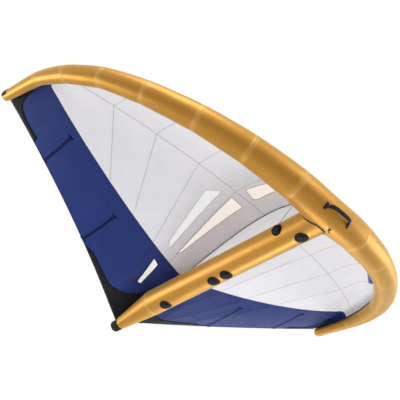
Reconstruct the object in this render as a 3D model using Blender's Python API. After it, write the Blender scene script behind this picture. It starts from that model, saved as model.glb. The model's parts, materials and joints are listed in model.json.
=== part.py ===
"""An inflatable wing for foiling, held in the hands by its strut.

The wing is drawn from the centre of its leading edge: +X to port, +Y back
to the trailing edge, +Z up to the canopy. An empty then moves the origin
to the flat face of the second handle plate under the strut, where the
wing is carried. Outlines on the cloth are given in plan, as shares of the
half span and of the sweep, or of the way from the band seam to the trailing
edge.
"""

import math

import bpy
import bmesh
from mathutils import Matrix, Vector

MM = 0.001
DEG = math.pi / 180.0

# The whole wing
HALF_SPAN = 1637 * MM
SWEEP = 1489 * MM
TIP_RISE = 646 * MM
ROOT_CHORD = 2040 * MM

# Leading edge: an air tube of straight segments that rise to the tips
LE_CENTRE_RADIUS = 111.5 * MM
CENTRE_SET_BACK = 10 * MM
KINK_SHARES = (
    (0.170, 0.016, 0.045, 0.940),
    (0.362, 0.073, 0.164, 0.858),
    (0.544, 0.168, 0.319, 0.775),
    (0.713, 0.300, 0.502, 0.690),
    (0.840, 0.443, 0.670, 0.610),
    (0.925, 0.599, 0.803, 0.540),
    (0.974, 0.755, 0.902, 0.428),
    (1.000, 1.000, 1.000, 0.322),
)
LE_SIDES = 24
SEAM_STEPS = 3
BLADDER_SIDES = 12

# Strut: a straight air tube under the root, its foot level to the tail
STRUT_RADIUS = 90 * MM
STRUT_AXIS_DROP = 19 * MM
TAIL_ROOM = 90 * MM
TAPER_LENGTH = 350 * MM
SLEEVE_END = ROOT_CHORD - TAIL_ROOM
TAPER_START = SLEEVE_END - TAPER_LENGTH
TAIL_RADIUS = 47 * MM
STRUT_RUN_STEPS = 4
TAPER_STEPS = 3
STRUT_SIDES = 32
FRONT_RING = 170 * MM
END_CAP_LENGTH = 90 * MM
END_CAP_RADIUS = 42.5 * MM
END_CAP_WALL = 3 * MM
END_CAP_SHARES = ((0.0, 1.0), (0.80, 0.97), (0.93, 0.86), (0.99, 0.62))
CAP_DROP = TAIL_RADIUS - END_CAP_RADIUS
JUNCTION_REACH_SHARE = 0.90

# Cloth, film and the gaps between what touches
CLOTH = 1.2 * MM
FILM = 0.8 * MM
PATCH_CLOTH = 0.8 * MM
CLEARANCE = 0.3 * MM
SEAM_GAP = 0.4 * MM
FACET_ROOM = 1.1 * MM

# Canopy in plan: the tips, and how the lines across it run. A seam has its
# place on the root chord, its place on the sweep and its bow
TIP_CHORD = 33 * MM
TIP_EDGE_LIFT = 26 * MM
ROOT_EDGE_DROP = 19 * MM
TRAILING_BOW_SHARE = 0.190
TRAILING_RISE_BOW_SHARE = -0.0775
CAMBER_SHARE = 0.112
CAMBER_FRONT_POWER = 0.8
CAMBER_REAR_POWER = 2.35
ROOT_LIFT_WIDTH = 250 * MM
WEB_REAR_HEIGHT = 9 * MM
WEB_FRONT_ROOM = 4 * MM
LONG_SEAM_SHARES = (0.2701, 0.7579, -0.2146)
BAND_SEAM_SHARES = (0.6544, 0.7801, 0.1159)

# Columns of the canopy from root to tip. Each gives the kink, or the share
# of the way between kinks, where it meets the leading edge, then its place
# on the long seam, the band seam and the trailing edge in half spans
COLUMN_SHARES = (
    (0.0, 0.000, 0.000, 0.000),
    (1.0, 0.161, 0.090, 0.026),
    (2.0, 0.340, 0.203, 0.070),
    (3.0, 0.528, 0.342, 0.140),
    (4.0, 0.707, 0.503, 0.215),
    (5.0, 0.825, 0.703, 0.480),
    (6.0, 0.904, 0.843, 0.703),
    (6.5, 0.9235, 0.905, 0.800),
    (7.0, 0.9500, 0.9515, 0.890),
    (8.0, 0.9800, 0.9800, 0.9800),
)
SEAM_END_SHARE = 0.04
FRONT_COLUMN_COUNT = 7
MAIN_COLUMN_COUNT = 8
BAND_COLUMN_COUNT = 9
COLUMN_STEPS = (3, 3, 3, 3, 2, 2, 1, 1, 2)
FRONT_ROW_COUNT = 4
MAIN_ROW_COUNT = 7
BAND_ROW_COUNT = 6

# Clear windows, as outlines in half spans and root chords
WINDOW_SHARES = {
    "window_outer": ((0.236, 0.361), (0.194, 0.316), (0.140, 0.590), (0.134, 0.606), (0.163, 0.583)),
    "window_inner": ((0.149, 0.308), (0.084, 0.308), (0.090, 0.580), (0.097, 0.600)),
    "window_front": ((0.145, 0.250), (0.128, 0.130), (0.084, 0.130), (0.080, 0.240), (0.092, 0.257)),
    "window_rear": ((0.144, 0.672), (0.111, 0.679), (0.078, 0.799), (0.096, 0.802)),
}
WINDOW_PANELS = {
    "window_outer": "canopy_panel_2",
    "window_inner": "canopy_panel_1",
    "window_front": "canopy_front_strip",
    "window_rear": "canopy_trailing_band",
}

# Reinforcing patches under the cloth, in half spans. The tail patch and the
# battens run between the band seam and the trailing edge, and the others
# follow the sweep of the leading edge
TAIL_PATCH_SHARES = (
    (0.003, 0.4091),
    (0.034, 0.4896),
    (0.0745, 0.695),
    (0.144, 0.8572),
    (0.227, 0.8875),
    (0.319, 0.8908),
    (0.361, 0.9896),
    (0.361, 1.200),
    (0.003, 1.200),
)
TIP_PATCH_SHARES = (
    (0.9400, 0.8768),
    (0.9400, 0.9590),
    (0.920, 0.9864),
    (0.876, 1.0070),
    (0.800, 1.0138),
    (0.800, 1.0960),
    (1.000, 1.0960),
    (1.000, 0.8768),
)
EDGE_TAB_SHARES = ((0.588, 0.1644), (0.588, 0.3042), (0.700, 0.3905), (0.700, 0.1644))

# Battens, slid in from the trailing edge and sewn in on the under side
BATTEN_SHARES = ((0.386, 0.260, 1.020), (0.724, 0.184, 1.020))
BATTEN_WIDTH = 18 * MM
BATTEN_THICKNESS = 1.6 * MM
POCKET_WIDTH = 34 * MM
POCKET_END = 12 * MM

# Handle plates on the strut's underside, placed along the root chord
PLATE_SHARES = (0.09657, 0.41226, 0.46912, 0.70588)
PLATE_RADIUS = 44 * MM
PLATE_THICKNESS = 2.4 * MM
PLATE_SEAT = 0.7 * MM
PLATE_EDGE = 1.5 * MM
PLATE_BOSS_RADIUS = 22 * MM
PLATE_BOSS_HEIGHT = 8 * MM
PLATE_SIDES = 20
SEAT_RING_SHARES = (0.33, 0.67)
SCREW_HOLE_RADIUS = 2.6 * MM
SCREW_HOLE_DEPTH = 4 * MM
SCREW_SPACING = 24 * MM
CARRY_PLATE_INDEX = 1

# Inflation valve on the starboard side of the strut
VALVE_PLACE = 330 * MM
VALVE_ANGLE = -170 * DEG
VALVE_FLANGE_RADIUS = 39.5 * MM
VALVE_BORE_RADIUS = 20.5 * MM
VALVE_NECK_WALL = 2 * MM
VALVE_COLLAR_WALL = 4.5 * MM
VALVE_COLLAR_HEIGHT = 9 * MM
VALVE_DEPTH = 16 * MM
CORE_NOZZLE_RADIUS = 10 * MM
CORE_FLOOR_DEPTH = 8 * MM
CORE_FLOOR = 1.6 * MM
CORE_SKIRT_WALL = 4 * MM
VENT_RADIUS = 1.6 * MM
VENT_COUNT = 6
PIN_RADIUS = 2 * MM
PIN_BUTTON_RADIUS = 3.6 * MM
PIN_BUTTON_HEIGHT = 2 * MM
PIN_TRAVEL = 4 * MM
PIN_FLAP = 1.4 * MM
CAP_WALL = 3 * MM
CAP_SKIRT = 1.6 * MM
CAP_PIN_RADIUS = 1.6 * MM
CAP_PIN_LENGTH = 12 * MM
VALVE_SIDES = 20

# Air hose between the two bladders
HOSE_RADIUS = 15 * MM
HOSE_WALL = 3 * MM
HOSE_INSERT = 18 * MM

# Front handle: a webbing strap sewn to the leading edge by two tabs
HANDLE_ANGLE = 40 * DEG
HANDLE_HALF_SPAN = 93 * MM
HANDLE_RISE = 31 * MM
STRAP_WIDTH = 25 * MM
STRAP_THICKNESS = 3 * MM
TAB_LENGTH = 43 * MM
TAB_WIDTH = 18 * MM
TAB_THICKNESS = 2.4 * MM
TAB_SEAT = 0.35 * MM
TAB_STEPS = 6
ARCH_POWER = 0.55
ARCH_RISE_POWER = 0.9
ARCH_STEPS = 18
LUG_ANGLES = (80 * DEG, 60 * DEG, 35 * DEG, 12 * DEG)

# Leash loop under the leading edge
LOOP_PLACE = 30 * MM
LOOP_WIDTH = 14 * MM
LOOP_LENGTH = 24 * MM
LOOP_CORD_RADIUS = 2 * MM
LOOP_TAB_LENGTH = 24 * MM
LOOP_TAB_WIDTH = 16 * MM

# Piping round the joint of strut and leading edge
PIPING_RADIUS = 2.5 * MM
PIPING_SEAT = 0.6 * MM
PIPING_OPENING = 22 * DEG
PIPING_STEPS = 48

# Bumpers over the ends of the leading edge
TIP_CAP_LENGTH = 24 * MM
TIP_CAP_WALL = 2 * MM
TIP_CAP_SHARES = ((0.0, 1.0), (0.35, 0.985), (0.65, 0.88), (0.88, 0.62), (0.97, 0.32))
BLADDER_END_SHARE = 0.8

# Overrun of every cutting tool
OVERRUN = 20 * MM

GOLD = (0.80, 0.52, 0.14)
BLACK = (0.012, 0.012, 0.014)
PALE = (0.72, 0.72, 0.75)
WHITE = (0.86, 0.86, 0.86)
BLUE = (0.035, 0.055, 0.20)
CREAM = (0.90, 0.84, 0.76)
FILM_GREY = (0.55, 0.57, 0.60)
UP = Vector((0, 0, 1))


def clear_scene():
    """Remove what the file holds so that the wing stands alone."""
    for item in list(bpy.data.objects):
        bpy.data.objects.remove(item, do_unlink=True)


def finish(name, color, roughness=0.5, metallic=0.0):
    """A Principled material."""
    material = bpy.data.materials.new(name)
    material.use_nodes = True
    shader = material.node_tree.nodes["Principled BSDF"]
    shader.inputs["Base Color"].default_value = (*color, 1.0)
    shader.inputs["Roughness"].default_value = roughness
    shader.inputs["Metallic"].default_value = metallic
    return material


def add_object(name, verts, faces, look, smooth_angle=35 * DEG):
    """An object in the wing's frame from points and faces."""
    mesh = bpy.data.meshes.new(name)
    mesh.from_pydata([tuple(v) for v in verts], [], faces)
    mesh.validate()
    bm = bmesh.new()
    bm.from_mesh(mesh)
    bmesh.ops.recalc_face_normals(bm, faces=bm.faces)
    bm.to_mesh(mesh)
    bm.free()
    mesh.shade_smooth()
    mesh.set_sharp_from_angle(angle=smooth_angle)
    obj = bpy.data.objects.new(name, mesh)
    bpy.context.scene.collection.objects.link(obj)
    obj.parent = WING
    if look is not None:
        mesh.materials.append(finish(name, *look))
    return obj


def cut(obj, cutter):
    """Take one guide solid out of an object."""
    cutter.hide_render = True
    cutter.display_type = "WIRE"
    modifier = obj.modifiers.new(cutter.name, "BOOLEAN")
    modifier.operation = "DIFFERENCE"
    modifier.solver = "EXACT"
    modifier.object = cutter


def keep_inside(obj, guide):
    """Keep only what lies inside a guide solid."""
    cut(obj, guide)
    obj.modifiers[-1].operation = "INTERSECT"


# Points on the leading edge

def mix(a, b, share):
    return a + (b - a) * share


def kink_point(index):
    """Axis of the leading edge at a kink; kinks are negative to starboard."""
    if index == 0:
        return Vector((0, CENTRE_SET_BACK, 0))
    shares = KINK_SHARES[abs(index) - 1]
    side = 1 if index > 0 else -1
    return Vector((side * shares[0] * HALF_SPAN, shares[1] * SWEEP, shares[2] * TIP_RISE))


LAST_KINK = len(KINK_SHARES)


def le_radius(index):
    """The tube narrows towards its tips."""
    return LE_CENTRE_RADIUS * (KINK_SHARES[abs(index) - 1][3] if index else 1)


def kink_frame(index):
    """Tangent, rearward and upward directions at a kink."""
    before = kink_point(index) - kink_point(max(index - 1, -LAST_KINK))
    after = kink_point(min(index + 1, LAST_KINK)) - kink_point(index)
    along = (before.normalized() + after.normalized()).normalized()
    rear = UP.cross(along).normalized()
    return along, rear, along.cross(rear)


def le_ring(index, shrink, sides):
    """Ring of points round the axis, shrunk inside the cloth."""
    along, rear, above = kink_frame(index)
    radius = le_radius(index) - shrink
    centre = kink_point(index)
    ring = []
    for step in range(sides):
        angle = 2 * math.pi * step / sides
        ring.append(centre + radius * (math.cos(angle) * rear + math.sin(angle) * above))
    return ring


def seam_point(place):
    """Where the canopy starts, just off the cloth of the leading edge."""
    low = min(int(place), LAST_KINK - 1)
    ends = []
    for index in (low, low + 1):
        along, rear, above = kink_frame(index)
        angle = 2 * math.pi * SEAM_STEPS / LE_SIDES
        reach = le_radius(index) + CLEARANCE + CLOTH / 2 + SEAM_GAP / 2
        ends.append(kink_point(index) + reach * (math.cos(angle) * rear + math.sin(angle) * above))
    return mix(ends[0], ends[1], place - low)


# The strut

def strut_radius(y):
    if y <= TAPER_START:
        return STRUT_RADIUS
    return mix(STRUT_RADIUS, TAIL_RADIUS, (y - TAPER_START) / (SLEEVE_END - TAPER_START))


def strut_axis(y):
    """The foot line of the strut stays level, so the axis drops in the taper."""
    return -STRUT_AXIS_DROP - (STRUT_RADIUS - strut_radius(y))


def strut_top(y):
    if y > SLEEVE_END:
        return strut_axis(SLEEVE_END) + END_CAP_RADIUS - CAP_DROP
    return strut_axis(y) + strut_radius(y)


# The canopy

SEAM_POINTS = [seam_point(index) for index in range(LAST_KINK + 1)]


def edge_height(x, axis):
    """Height or depth of the front seam at a place across the span."""
    for low, high in zip(SEAM_POINTS[:-1], SEAM_POINTS[1:]):
        if x <= high.x or high is SEAM_POINTS[-1]:
            return mix(low[axis], high[axis], (x - low.x) / (high.x - low.x))


def bowed(root, tip, bow_share, share):
    """A run from root to tip with a parabola added to the straight line."""
    return mix(root, tip, share) + bow_share * (tip - root) * 4 * share * (1 - share)


def trailing_point(x):
    share = x / (COLUMN_SHARES[-1][3] * HALF_SPAN)
    y = bowed(ROOT_CHORD, SWEEP + TIP_CHORD, TRAILING_BOW_SHARE, share)
    z = bowed(-ROOT_EDGE_DROP, TIP_RISE + TIP_EDGE_LIFT, TRAILING_RISE_BOW_SHARE, share)
    return y, z


def camber(share):
    """Camber along the chord, one at its peak."""
    share = min(max(share, 0.0), 1.0)
    peak = CAMBER_FRONT_POWER / (CAMBER_FRONT_POWER + CAMBER_REAR_POWER)
    top = peak ** CAMBER_FRONT_POWER * (1 - peak) ** CAMBER_REAR_POWER
    return share ** CAMBER_FRONT_POWER * (1 - share) ** CAMBER_REAR_POWER / top


def plain_height(x, y):
    """Canopy height before the strut lifts it."""
    front_y = edge_height(x, 1)
    front_z = edge_height(x, 2)
    back_y, back_z = trailing_point(x)
    share = (y - front_y) / (back_y - front_y)
    return mix(front_z, back_z, share) + CAMBER_SHARE * (back_y - front_y) * camber(share)


def root_height(y):
    """Canopy height over the strut: cambered, then carried by the web."""
    end_share = min(max((y - TAPER_START) / (SLEEVE_END - TAPER_START), 0.0), 1.0)
    web = mix(WEB_REAR_HEIGHT, CLEARANCE + CLOTH, end_share)
    return max(plain_height(0.0, y), strut_top(y) + web)


def canopy_height(x, y):
    lift = root_height(y) - plain_height(0.0, y)
    fade = max(0.0, 1 - (x / ROOT_LIFT_WIDTH) ** 2)
    return plain_height(x, y) + lift * fade


def seam_line(shares, x):
    """Place in plan of a seam that runs across the span."""
    root_share, tip_share, bow_share = shares
    return bowed(root_share * ROOT_CHORD, tip_share * SWEEP, bow_share, x / HALF_SPAN)


def column_point(column, row):
    """Plan place where a column meets the seam, band or trailing line."""
    shares = COLUMN_SHARES[column]
    if row == 0 or (row == 2 and column >= MAIN_COLUMN_COUNT):
        return seam_point(shares[0]).xy
    if row == 1 and column >= FRONT_COLUMN_COUNT:
        turn = SEAM_END_SHARE if column == FRONT_COLUMN_COUNT else -SEAM_END_SHARE
        return seam_point(shares[0] + turn).xy
    x = shares[row] * HALF_SPAN
    if row == 3:
        return Vector((x, trailing_point(x)[0]))
    return Vector((x, seam_line(LONG_SEAM_SHARES if row == 1 else BAND_SEAM_SHARES, x)))


def columns_between(first, last):
    """Column numbers with their steps, from root to tip."""
    places = [float(first)]
    for column in range(first, last):
        steps = COLUMN_STEPS[column]
        places += [column + (step + 1) / steps for step in range(steps)]
    return places


def plan_point(place, row):
    """Plan point at a fractional column and one of the four lines."""
    low = min(int(place), len(COLUMN_SHARES) - 2)
    near, far = column_point(low, row), column_point(low + 1, row)
    point = mix(near, far, place - low)
    if row == 3:
        return Vector((point.x, trailing_point(point.x)[0]))
    if row == 1 and low + 1 < FRONT_COLUMN_COUNT:
        return Vector((point.x, seam_line(LONG_SEAM_SHARES, point.x)))
    if row == 2 and low + 1 < MAIN_COLUMN_COUNT:
        return Vector((point.x, seam_line(BAND_SEAM_SHARES, point.x)))
    return point


def strip_grid(first, last, front_row, rows):
    """Grid of points on the canopy between two lines and two columns."""
    grid = []
    for place in columns_between(first, last):
        low = plan_point(place, front_row)
        high = plan_point(place, front_row + 1)
        column = []
        for step in range(rows + 1):
            point = mix(low, high, step / rows)
            column.append(Vector((point.x, point.y, canopy_height(point.x, point.y))))
        grid.append(column)
    return grid


def draw_in(grid, gap, sides=(True, True, True, True)):
    """Draw the edges in along the cloth, to leave a sewn gap."""
    def moved(point, inner):
        return point + (inner - point).normalized() * gap
    if sides[0]:
        grid[0] = [moved(a, b) for a, b in zip(grid[0], grid[1])]
    if sides[1]:
        grid[-1] = [moved(a, b) for a, b in zip(grid[-1], grid[-2])]
    for column in grid:
        if sides[2]:
            column[0] = moved(column[0], column[1])
        if sides[3]:
            column[-1] = moved(column[-1], column[-2])
    return grid


def grid_normals(grid):
    """Upward normals at the points of a grid."""
    across, deep = len(grid), len(grid[0])
    normals = []
    for i in range(across):
        column = []
        for j in range(deep):
            span = grid[min(i + 1, across - 1)][j] - grid[max(i - 1, 0)][j]
            chord = grid[i][min(j + 1, deep - 1)] - grid[i][max(j - 1, 0)]
            column.append(span.cross(chord).normalized())
        normals.append(column)
    return normals


def slab(name, grid, low, high, side, look):
    """Closed sheet between two heights off a grid, on one side of the wing."""
    normals = grid_normals(grid)
    across, deep = len(grid), len(grid[0])
    verts = []
    for height in (low, high):
        for i in range(across):
            for j in range(deep):
                point = grid[i][j] + normals[i][j] * height
                verts.append((side * point.x, point.y, point.z))
    top = across * deep

    def at(i, j):
        return i * deep + j

    faces = []
    for i in range(across - 1):
        for j in range(deep - 1):
            quad = (at(i, j), at(i + 1, j), at(i + 1, j + 1), at(i, j + 1))
            faces += split_quad(quad)
            faces += split_quad(tuple(v + top for v in quad))
    rim = [at(i, 0) for i in range(across)]
    rim += [at(across - 1, j) for j in range(1, deep)]
    rim += [at(i, deep - 1) for i in range(across - 2, -1, -1)]
    rim += [at(0, j) for j in range(deep - 2, 0, -1)]
    for a, b in zip(rim, rim[1:] + rim[:1]):
        faces.append((a, b, b + top, a + top))
    return add_object(name, verts, faces, look)


def split_quad(quad):
    """The same diagonal on every layer, so that stacked sheets stay parallel."""
    return [(quad[0], quad[1], quad[2]), (quad[0], quad[2], quad[3])]


def plan_outline(shares, depth):
    """Plan points from shares of the half span and of a depth."""
    return [Vector((x * HALF_SPAN, y * depth)) for x, y in shares]


def band_place(x_share, share):
    """Plan point on the way from the band seam to the trailing edge."""
    x = x_share * HALF_SPAN
    return Vector((x, mix(seam_line(BAND_SEAM_SHARES, x), trailing_point(x)[0], share)))


def prism(name, points, side, shrink=0.0):
    """Upright guide solid over plan points, drawn in by an amount."""
    points = inset_outline(points, shrink)
    low = -STRUT_RADIUS - STRUT_AXIS_DROP - OVERRUN
    high = TIP_RISE + LE_CENTRE_RADIUS + OVERRUN
    count = len(points)
    verts = [(side * p.x, p.y, z) for z in (low, high) for p in points]
    faces = [tuple(range(count)), tuple(range(2 * count - 1, count - 1, -1))]
    for k in range(count):
        following = (k + 1) % count
        faces.append((k, following, following + count, k + count))
    return add_object(name, verts, faces, None)


def inset_outline(points, amount):
    """Move every corner of a convex outline inward by one distance."""
    if amount == 0.0:
        return points
    centre = sum(points, Vector((0, 0))) / len(points)
    moved = []
    count = len(points)
    for k in range(count):
        before = (points[k] - points[k - 1]).normalized()
        after = (points[(k + 1) % count] - points[k]).normalized()
        bisector = (after - before).normalized()
        if bisector.dot(centre - points[k]) < 0:
            bisector = -bisector
        half = abs(before.cross(bisector)) if before.length else 1.0
        moved.append(points[k] + bisector * amount / max(half, 0.2))
    return moved


# Rings joined into solids

def loft(name, rings, look, closed=False, poles=(None, None), parent_matrix=None):
    """Skin over rings of equal count, with flat or pointed ends."""
    sides = len(rings[0])
    verts = [point for ring in rings for point in ring]
    faces = []
    count = len(rings)
    for k in range(count if closed else count - 1):
        base, following = k * sides, ((k + 1) % count) * sides
        for s in range(sides):
            t = (s + 1) % sides
            faces += split_quad((base + s, base + t, following + t, following + s))
    if not closed:
        for pole, base in ((poles[0], 0), (poles[1], (count - 1) * sides)):
            if pole is None:
                faces.append(tuple(range(base, base + sides)))
            else:
                verts.append(pole)
                tip = len(verts) - 1
                for s in range(sides):
                    faces.append((base + s, base + (s + 1) % sides, tip))
    obj = add_object(name, verts, faces, look)
    if parent_matrix is not None:
        obj.matrix_local = parent_matrix
    return obj


def circle(centre, radius, u, v, sides):
    return [
        centre + radius * (math.cos(2 * math.pi * s / sides) * u + math.sin(2 * math.pi * s / sides) * v)
        for s in range(sides)
    ]


# Leading edge pieces

def make_leading_edge():
    kinks = range(-LAST_KINK, LAST_KINK + 1)
    outer = [le_ring(k, 0.0, LE_SIDES) for k in kinks]
    inner = [le_ring(k, CLOTH, LE_SIDES) for k in reversed(kinks)]
    sleeve = loft("leading_edge_sleeve", outer + inner, (GOLD, 0.38), closed=True)
    cut(sleeve, port_guide("sleeve_port_guide"))


def make_leading_edge_bladder():
    """Film tube inside the sleeve, with a port at the root for the hose."""
    facet = LE_CENTRE_RADIUS * (1 - math.cos(math.pi / LE_SIDES))
    outer_shrink = CLOTH + CLEARANCE + facet
    rings = bladder_rings(outer_shrink)
    outer = loft("leading_edge_bladder", rings[0], (FILM_GREY, 0.3), poles=rings[1])
    hollow_rings = bladder_rings(outer_shrink + FILM)
    hollow = loft("bladder_hollow_guide", hollow_rings[0], None, poles=hollow_rings[1])
    cut(outer, hollow)
    cut(outer, port_guide("bladder_port_guide"))


def bladder_rings(shrink):
    """Rings of the bladder with its two pointed ends."""
    rings = []
    tips = []
    for k in range(-LAST_KINK, LAST_KINK + 1):
        ring = le_ring(k, shrink, BLADDER_SIDES)
        if abs(k) == LAST_KINK:
            outward = kink_frame(k)[0] * (1 if k > 0 else -1)
            back = le_radius(k) * BLADDER_END_SHARE + shrink
            ring = [p - outward * back for p in ring]
            tips.append(kink_point(k) - outward * shrink)
        rings.append(ring)
    return rings, tips


def port_guide(name):
    """Cutting tool for the air port at the back of the leading edge."""
    centre_z = strut_axis(0.0)
    start = Vector((0, CENTRE_SET_BACK + LE_CENTRE_RADIUS / 2, centre_z))
    end = Vector((0, CENTRE_SET_BACK + LE_CENTRE_RADIUS + OVERRUN, centre_z))
    radius = HOSE_RADIUS + CLEARANCE
    u, v = Vector((1, 0, 0)), UP
    rings = [circle(start, radius, u, v, BLADDER_SIDES), circle(end, radius, u, v, BLADDER_SIDES)]
    return loft(name, rings, None)


def make_hose():
    centre_z = strut_axis(0.0)
    front = CENTRE_SET_BACK + LE_CENTRE_RADIUS - HOSE_INSERT
    back = FRONT_RING + HOSE_INSERT
    u, v = Vector((1, 0, 0)), UP
    rings = []
    for radius, y in ((HOSE_RADIUS, front), (HOSE_RADIUS, back)):
        rings.append(circle(Vector((0, y, centre_z)), radius, u, v, BLADDER_SIDES))
    for y in (back, front):
        rings.append(circle(Vector((0, y, centre_z)), HOSE_RADIUS - HOSE_WALL, u, v, BLADDER_SIDES))
    loft("air_transfer_hose", rings, (FILM_GREY, 0.4), closed=True)


def make_tip_cap(side):
    """Bumper over the open end of the leading edge."""
    kink = side * LAST_KINK
    along, rear, above = kink_frame(kink)
    along = along * side
    start = kink_point(kink) + along * CLEARANCE
    radius = le_radius(kink)
    rings = []
    for reach, width in TIP_CAP_SHARES:
        centre = start + along * reach * TIP_CAP_LENGTH
        rings.append(circle(centre, radius * width, rear, above, LE_SIDES))
    inner = []
    for reach, width in TIP_CAP_SHARES:
        depth = max(reach * (TIP_CAP_LENGTH - TIP_CAP_WALL), 0.0)
        centre = start + along * depth
        inner.append(circle(centre, (radius - TIP_CAP_WALL) * width, rear, above, LE_SIDES))
    name = "tip_cap_port" if side > 0 else "tip_cap_starboard"
    poles = (start + along * (TIP_CAP_LENGTH - TIP_CAP_WALL), start + along * TIP_CAP_LENGTH)
    loft(name, list(reversed(inner)) + rings, (BLACK, 0.6), poles=poles)


# Strut pieces

def strut_ring(y, shrink, sides):
    centre = Vector((0, y, strut_axis(y)))
    return circle(centre, strut_radius(y) - shrink, Vector((1, 0, 0)), UP, sides)


def junction_ring(shrink, sides):
    """Front end of the strut, fitted to the back of the leading edge."""
    radius = LE_CENTRE_RADIUS + CLEARANCE + FACET_ROOM
    centre, side = kink_point(0), kink_point(1)
    points = []
    for point in strut_ring(0.0, shrink, sides):
        away = abs(point.x) / side.x
        lean = min(max(point.z / radius, -JUNCTION_REACH_SHARE), JUNCTION_REACH_SHARE)
        y = mix(centre.y, side.y, away) + radius * math.sqrt(1 - lean ** 2)
        points.append(Vector((point.x, y, lean * radius)))
    return points


def strut_stations():
    run = [mix(FRONT_RING, TAPER_START, step / STRUT_RUN_STEPS) for step in range(STRUT_RUN_STEPS + 1)]
    return run + [mix(TAPER_START, SLEEVE_END, step / TAPER_STEPS) for step in range(1, TAPER_STEPS + 1)]


def make_strut_sleeve():
    outer = [junction_ring(0.0, STRUT_SIDES)]
    outer += [strut_ring(y, 0.0, STRUT_SIDES) for y in strut_stations()]
    inner = [junction_ring(CLOTH, STRUT_SIDES)]
    inner += [strut_ring(y, CLOTH, STRUT_SIDES) for y in strut_stations()]
    sleeve = loft("strut_sleeve", outer + inner[::-1], (GOLD, 0.38), closed=True)
    cut(sleeve, valve_guide("sleeve_valve_guide"))


def make_strut_bladder():
    facet = STRUT_RADIUS * (1 - math.cos(math.pi / STRUT_SIDES))
    shrink = CLOTH + CLEARANCE + facet
    port = HOSE_RADIUS + CLEARANCE
    stations = strut_stations()
    end = SLEEVE_END - TAIL_RADIUS / 2
    stations = [y for y in stations if y < end] + [end]
    stations[0] = FRONT_RING + CLEARANCE
    u = Vector((1, 0, 0))
    front = Vector((0, FRONT_RING - HOSE_INSERT / 2, strut_axis(0.0)))
    outer = [circle(front, port + FILM, u, UP, BLADDER_SIDES)]
    outer += [strut_ring(y, shrink, BLADDER_SIDES) for y in stations]
    back = Vector((0, FRONT_RING - HOSE_INSERT / 2, strut_axis(0.0)))
    inner = [circle(back, port, u, UP, BLADDER_SIDES)]
    inner += [strut_ring(y, shrink + FILM, BLADDER_SIDES) for y in [stations[0] + FILM] + stations[1:]]
    tail = Vector((0, SLEEVE_END - FILM, strut_axis(end)))
    rings = inner[::-1] + outer
    poles = (tail - Vector((0, FILM, 0)), tail)
    bladder = loft("strut_bladder", rings, (FILM_GREY, 0.3), poles=poles)
    cut(bladder, valve_guide("bladder_valve_guide"))


def make_end_cap():
    """Bumper over the tail of the strut."""
    axis_z = strut_axis(SLEEVE_END) - CAP_DROP
    start = SLEEVE_END + CLEARANCE
    u = Vector((1, 0, 0))
    outer = []
    inner = []
    for reach, width in END_CAP_SHARES:
        outer.append(circle(Vector((0, start + reach * END_CAP_LENGTH, axis_z)),
                            END_CAP_RADIUS * width, u, UP, STRUT_SIDES))
        inner.append(circle(Vector((0, start + reach * (END_CAP_LENGTH - END_CAP_WALL), axis_z)),
                            (END_CAP_RADIUS - END_CAP_WALL) * width, u, UP, STRUT_SIDES))
    poles = (Vector((0, start + END_CAP_LENGTH - END_CAP_WALL, axis_z)),
             Vector((0, start + END_CAP_LENGTH, axis_z)))
    loft("strut_end_cap", inner[::-1] + outer, (BLACK, 0.6), poles=poles)


def make_piping():
    """Round piping in the corner between the strut and the leading edge."""
    ring = junction_ring(0.0, PIPING_STEPS)
    route = []
    offset = PIPING_RADIUS + PIPING_SEAT
    for step, point in enumerate(ring):
        angle = 2 * math.pi * step / PIPING_STEPS
        if abs(angle - math.pi / 2) < PIPING_OPENING:
            continue
        out_strut = Vector((math.cos(angle), 0, math.sin(angle)))
        out_edge = Vector((0, point.y - CENTRE_SET_BACK, point.z)).normalized()
        both = (out_strut + out_edge) / (1 + out_strut.dot(out_edge))
        route.append((angle, point + both * offset))
    route.sort(key=lambda item: (item[0] - math.pi / 2) % (2 * math.pi))
    points = [point for _, point in route]
    add_tube("junction_piping", points, PIPING_RADIUS, 8, (BLACK, 0.5))


def add_tube(name, points, radius, sides, look, closed=False, parent_matrix=None):
    """Round tube along points, carried without twist."""
    count = len(points)
    rings = []
    guide = None
    for k in range(count):
        before = points[k] - points[k - 1] if k or closed else points[1] - points[0]
        after = points[(k + 1) % count] - points[k] if k < count - 1 or closed else before
        along = (before.normalized() + after.normalized()).normalized()
        if guide is None:
            guide = along.orthogonal().normalized()
        guide = (guide - along * guide.dot(along)).normalized()
        rings.append(circle(points[k], radius, guide, along.cross(guide), sides))
    return loft(name, rings, look, closed=closed, parent_matrix=parent_matrix)


# Web and canopy

def root_rows():
    """Places along the root where the canopy's rows lie."""
    rows = []
    for front_row, count in ((0, FRONT_ROW_COUNT), (1, MAIN_ROW_COUNT), (2, BAND_ROW_COUNT)):
        low, high = column_point(0, front_row).y, column_point(0, front_row + 1).y
        rows += [mix(low, high, step / count) for step in range(count)]
    rows.append(column_point(0, 3).y)
    return rows


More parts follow.
